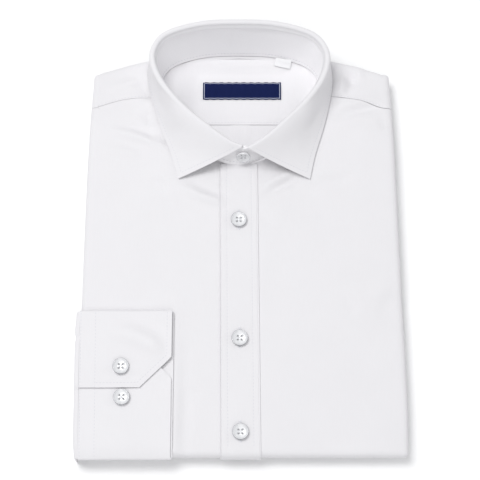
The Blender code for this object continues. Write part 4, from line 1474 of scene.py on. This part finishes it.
def make_buttons(resin, thread):
    """Three on the placket, one on the stand and two on the cuff, and the threads that hold them."""
    up = Vector(UP)
    large = drilled(button_mesh("button", BUTTON_RADIUS))
    small = drilled(button_mesh("small_button", COLLAR_BUTTON_RADIUS))
    runs = []
    for n, y in enumerate(FRONT_BUTTONS_Y, 1):
        x = placket_x(y)
        place = Vector((x, y, placket_top(x, y)))
        runs.append(place_button(f"front_button_{n}", place, up, large, resin, SEWN_UPRIGHT))
        runs.append(buttonhole(x, y))
    heights = (COLLAR_BUTTON_UP, *COLLAR_BUTTON_SLOPE)
    middle, low, high = (Vector(stand_points(np.array([180.0]), h)[0, 0]) for h in heights)
    slope = high - low
    facing = Vector((0.0, -slope.z, slope.y)).normalized()
    place = middle + facing * (COLLAR_WALL / 2)
    runs.append(place_button("collar_button", place, facing, small, resin, SEWN_LEVEL))
    lifts = (FUSED + 2 * CUFF_STEP, FUSED + CUFF_STEP)
    for n, ((x, y), lift) in enumerate(zip(CUFF_BUTTONS, lifts), 1):
        x += FINE_BUTTON_SHIFT
        place = Vector((x, y, cuff_rest(x, y) + lift))
        ways = SEWN_UPRIGHT if n == 1 else SEWN_CROSSED
        runs.append(place_button(f"cuff_button_{n}", place, up, large, resin, ways))
    add_threads("button_threads", joined(runs), thread)


def buttonhole(x, y):
    """The close threads round a buttonhole in the placket, which shows past its button's edge."""
    half = BUTTONHOLE / 2
    y = y + BUTTONHOLE_UP
    places = []
    for side in (-BUTTONHOLE_HALF_WIDTH, BUTTONHOLE_HALF_WIDTH):
        for level in spaced(-half, half, BUTTONHOLE_PITCH):
            places.append((x + side, y + level, BUTTONHOLE_STITCH))
    for end in (-1, 1):
        for step in (-1, 0, 1):
            places.append((x, y + end * (half + BAR_PITCH * (step + 0.5)), BAR_STITCH))
    px, py, length = np.array(places).T
    up = np.broadcast_to(UP, (len(px), 3))
    along = np.broadcast_to((1.0, 0.0, 0.0), (len(px), 3))
    return Threads(point(px, py, placket_top(px, py) + THREAD_UP), along, up, length)


# The cloths and threads: colour, how far apart the threads lie and how high they stand, roughness
# and sheen. Then how the tone varies, as a factor and a least value, and how slubs are drawn out
CLOTHS = (
    ("shirting", (0.796, 0.786, 0.803), 0.00030, 0.00006, 0.72, 0.15),
    ("collar_cloth", (0.799, 0.789, 0.806), 0.00030, 0.00005, 0.68, 0.15),
    ("hidden_cloth", (0.784, 0.774, 0.790), 0.00030, 0.00006, 0.74, 0.15),
    # Painted light: a whiter copy of the shirting, with more sheen, whose brightness stands in for light
    # on the inside of the collar band
    ("band_cloth_painted_light", (0.975, 0.965, 0.980), 0.00030, 0.00005, 0.70, 0.45),
    # Painted light: a copy of the shirting, a little lighter, whose tone stands in for the light inside
    # the neck on the inner yoke and the back
    ("inside_cloth_painted_light", (0.815, 0.805, 0.822), 0.00030, 0.00006, 0.72, 0.15),
    # Painted shade: the thread is greyer than the white cloth so that the stitch lines read darker, as
    # the shade in their needle holes does
    ("sewing_thread_painted_shade", (0.70, 0.70, 0.74), 0.00020, 0.00004, 0.55, 0.10),
    ("button_thread", (0.80, 0.80, 0.83), 0.00020, 0.00004, 0.55, 0.10),
    ("tab_satin", (0.80, 0.80, 0.81), 0.00025, 0.00003, 0.35, 0.10),
)
TONE_UNEVEN = (0.030, 0.985)
SLUB_SCALE = (1400.0, 90.0, 1.0)


class Nodes:
    """A material's node tree, with short calls to add and join nodes."""

    def __init__(self, name):
        self.material = bpy.data.materials.new(name)
        self.material.use_nodes = True
        self.tree = self.material.node_tree
        self.shader = self.tree.nodes["Principled BSDF"]

    def fill(self, node, inputs):
        """Give a node its inputs. Each one is a value or another node's output."""
        for name, value in inputs.items():
            if isinstance(value, bpy.types.NodeSocket):
                self.tree.links.new(value, node.inputs[name])
            else:
                node.inputs[name].default_value = value

    def add(self, kind, inputs=(), **settings):
        """A node with its settings and inputs."""
        node = self.tree.nodes.new(kind)
        for name, value in settings.items():
            setattr(node, name, value)
        self.fill(node, dict(inputs))
        return node

    def math(self, operation, a, b=0.0, c=0.0):
        """A sum, product or the like of values."""
        return self.add("ShaderNodeMath", {0: a, 1: b, 2: c}, operation=operation).outputs[0]

    def cloth_place(self):
        """The place on the flat cloth, and its two coordinates."""
        place = self.add("ShaderNodeUVMap", uv_map="cloth").outputs["UV"]
        apart = self.add("ShaderNodeSeparateXYZ", {"Vector": place})
        return place, apart.outputs["X"], apart.outputs["Y"]

    def noise(self, place, scale, detail=2.0):
        """A soft noise, from 0 to 1."""
        inputs = {"Vector": place, "Scale": scale, "Detail": detail}
        return self.add("ShaderNodeTexNoise", inputs).outputs["Fac"]

    def blend(self, share, low, high):
        """A colour between two."""
        return self.add("ShaderNodeMix", {0: share, 6: low, 7: high}, data_type="RGBA").outputs[2]

    def bump(self, height, strength, distance):
        """A surface that rises and falls with a value."""
        inputs = {"Height": height, "Strength": strength, "Distance": distance}
        return self.add("ShaderNodeBump", inputs).outputs["Normal"]

    def shaded(self, inputs):
        """The material, with these inputs of its shader."""
        self.fill(self.shader, inputs)
        return self.material


def cloth_material(name, colour, pitch, depth, roughness, sheen):
    """Plain-woven cloth: threads over and under each other, slightly uneven in tone."""
    nodes = Nodes(name)
    place, x, y = nodes.cloth_place()
    warp, weft = (nodes.math("SINE", nodes.math("MULTIPLY", along, math.pi / pitch)) for along in (x, y))
    weave = nodes.math("MULTIPLY", warp, weft)
    stretch = nodes.add("ShaderNodeMapping", {"Vector": place, "Scale": SLUB_SCALE}).outputs[0]
    slub = nodes.noise(stretch, 1.0)
    soft = nodes.noise(place, 38.0, 3.0)
    tone = nodes.math("MULTIPLY_ADD", slub, *TONE_UNEVEN)
    tone = nodes.math("MULTIPLY", tone, nodes.math("MULTIPLY_ADD", soft, *TONE_UNEVEN))
    tone = nodes.math("MULTIPLY", tone, nodes.math("MULTIPLY_ADD", weave, 0.010, 1.0))
    whole = nodes.add("ShaderNodeVectorMath", {0: colour, 3: tone}, operation="SCALE").outputs[0]
    return nodes.shaded({
        "Base Color": whole,
        "Normal": nodes.bump(nodes.math("MULTIPLY_ADD", slub, 0.8, weave), 0.35, depth),
        "Roughness": nodes.math("MULTIPLY_ADD", soft, 0.12, roughness),
        "Sheen Weight": sheen,
        "Sheen Roughness": 0.45,
        "Specular IOR Level": 0.25,
    })


def resin_material():
    """Pearly resin: pale, glossy and cloudy inside, with painted shade: a dark band where its rim turns
    down and a faint ring on the rim's inner side.
    """
    nodes = Nodes("pearly_resin")
    place = nodes.add("ShaderNodeTexCoord").outputs["Object"]
    level = nodes.add("ShaderNodeVectorMath", {0: place, 1: (1.0, 1.0, 0.0)}, operation="MULTIPLY")
    out = nodes.add("ShaderNodeVectorMath", {0: level.outputs[0]}, operation="LENGTH").outputs["Value"]
    # Painted shade: a dark band across the rim's outer edge, where it turns down
    rim = nodes.add("ShaderNodeMapRange", {
        "Value": out, "From Min": BUTTON_RADIUS * BUTTON_RIM_SHADE[0], "From Max": BUTTON_RADIUS * BUTTON_RIM_SHADE[1]
    }, interpolation_type="SMOOTHSTEP").outputs["Result"]
    # Painted shade: a faint ring on the rim's inner side
    dish_shade = nodes.math("SUBTRACT", out, BUTTON_RADIUS * BUTTON_DISH_SHADE[0])
    dish_shade = nodes.math("DIVIDE", dish_shade, BUTTON_RADIUS * BUTTON_DISH_SHADE[1])
    dish_shade = nodes.math("POWER", 2.718, nodes.math("MULTIPLY", nodes.math("MULTIPLY", dish_shade, dish_shade), -1.0))
    # Both rings of painted shade, mixed toward a dark grey in the base colour
    painted_shade = nodes.math("MULTIPLY_ADD", rim, 0.80, nodes.math("MULTIPLY", dish_shade, 0.18))
    cloud = nodes.noise(place, 300.0, 3.0)
    pearl = nodes.blend(cloud, (0.60, 0.61, 0.63, 1.0), (0.95, 0.95, 0.96, 1.0))
    return nodes.shaded({
        "Base Color": nodes.blend(painted_shade, pearl, (0.20, 0.20, 0.23, 1.0)),
        "Roughness": nodes.math("MULTIPLY_ADD", cloud, 0.10, 0.14),
        "Coat Weight": 0.5,
        "Coat Roughness": 0.08,
        "IOR": 1.52,
    })


def label_material():
    """Navy satin weave with a thin pale border."""
    nodes = Nodes("woven_label")
    place, x, y = nodes.cloth_place()
    from_border = (
        nodes.math("SUBTRACT", size / 2 - BORDER_IN, nodes.math("ABSOLUTE", along))
        for size, along in zip(LABEL_SIZE, (x, y))
    )
    from_border = nodes.math("ABSOLUTE", nodes.math("MINIMUM", *from_border))
    border = nodes.math("LESS_THAN", from_border, LABEL_THREAD)
    threads = nodes.math("SINE", nodes.math("MULTIPLY", y, math.pi / LABEL_THREAD))
    grain = nodes.noise(place, 900.0)
    navy = nodes.blend(grain, (0.004, 0.009, 0.050, 1.0), (0.009, 0.016, 0.084, 1.0))
    return nodes.shaded({
        "Base Color": nodes.blend(border, navy, (0.45, 0.48, 0.58, 1.0)),
        "Normal": nodes.bump(threads, 0.4, 0.00005),
        "Roughness": nodes.math("MULTIPLY_ADD", grain, 0.2, 0.62),
        "Specular IOR Level": 0.08,
    })


def floor_material():
    """A plain pale floor, slightly uneven in tone."""
    nodes = Nodes("pale_floor")
    noise = nodes.noise(nodes.add("ShaderNodeTexCoord").outputs["Object"], 3.0)
    tone = nodes.math("MULTIPLY_ADD", noise, 0.01, 0.975)
    colour = nodes.add("ShaderNodeCombineColor", {0: tone, 1: tone, 2: tone}).outputs[0]
    return nodes.shaded({"Base Color": colour, "Roughness": 0.9, "Specular IOR Level": 0.0})


def aim(thing, target):
    """Turn a light or the camera to look at a place."""
    thing.rotation_euler = (target - thing.location).to_track_quat("-Z", "Y").to_euler()


def add_light(name, place, size, power):
    """A square soft light that looks at the shirt."""
    data = bpy.data.lights.new(name, "AREA")
    data.size = size
    data.energy = power
    light = add_object(name, data)
    light.location = place
    aim(light, Vector((0.0, 0.0, 0.0)))


def make_studio():
    """The floor, the world and three soft lights, and the camera at the photograph's angle."""
    bpy.ops.mesh.primitive_plane_add(size=FLOOR_SIZE)
    floor = bpy.context.object
    floor.name = "floor"
    floor.data.materials.append(floor_material())
    world = bpy.data.worlds.new("studio")
    world.use_nodes = True
    sky = world.node_tree.nodes["Background"].inputs
    sky["Color"].default_value = SKY_COLOUR
    sky["Strength"].default_value = SKY_STRENGTH
    bpy.context.scene.world = world
    for light in LIGHTS:
        add_light(*light)
    data = bpy.data.cameras.new("camera")
    data.lens = CAMERA_LENS
    data.sensor_width = SENSOR
    camera = add_object("camera", data)
    away = Vector((0.0, -math.cos(CAMERA_ELEVATION), math.sin(CAMERA_ELEVATION)))
    camera.location = CAMERA_TARGET + away * CAMERA_AWAY
    aim(camera, CAMERA_TARGET)
    bpy.context.scene.camera = camera
    bpy.context.scene.view_settings.view_transform = "Standard"


def main():
    """Make the shirt, and the studio round it."""
    cloths = (cloth_material(*cloth) for cloth in CLOTHS)
    shirting, collar, hidden, band, inside, thread, button_thread, satin = cloths
    make_folded_layers(hidden)
    make_front("front_right", -1, shirting)
    make_front("front_left", 1, shirting)
    # The inner yoke and the back wear a lighter copy of the shirting, which is painted light inside the
    # neck
    yoke_lines = make_outer_yoke(shirting) + make_inside(inside)
    placket_lines = make_placket(shirting)
    # The stand wears the whiter band cloth, which is painted light on the inside of the band
    collar_lines = make_collar_stand(band) + make_collar_leaf(collar)
    cuff_stitches = make_cuff(collar)
    make_sleeve(shirting)
    make_buttons(resin_material(), button_thread)
    make_neck_label()
    make_size_tab(satin)
    # The sewing thread is greyed, which is painted shade of the needle holes along the seams
    stitches("yoke_stitches", yoke_lines, thread)
    stitches("placket_stitches", placket_lines, thread)
    stitches("collar_stitches", collar_lines, thread)
    stitches("cuff_stitches", cuff_stitches, thread)
    make_studio()


main()
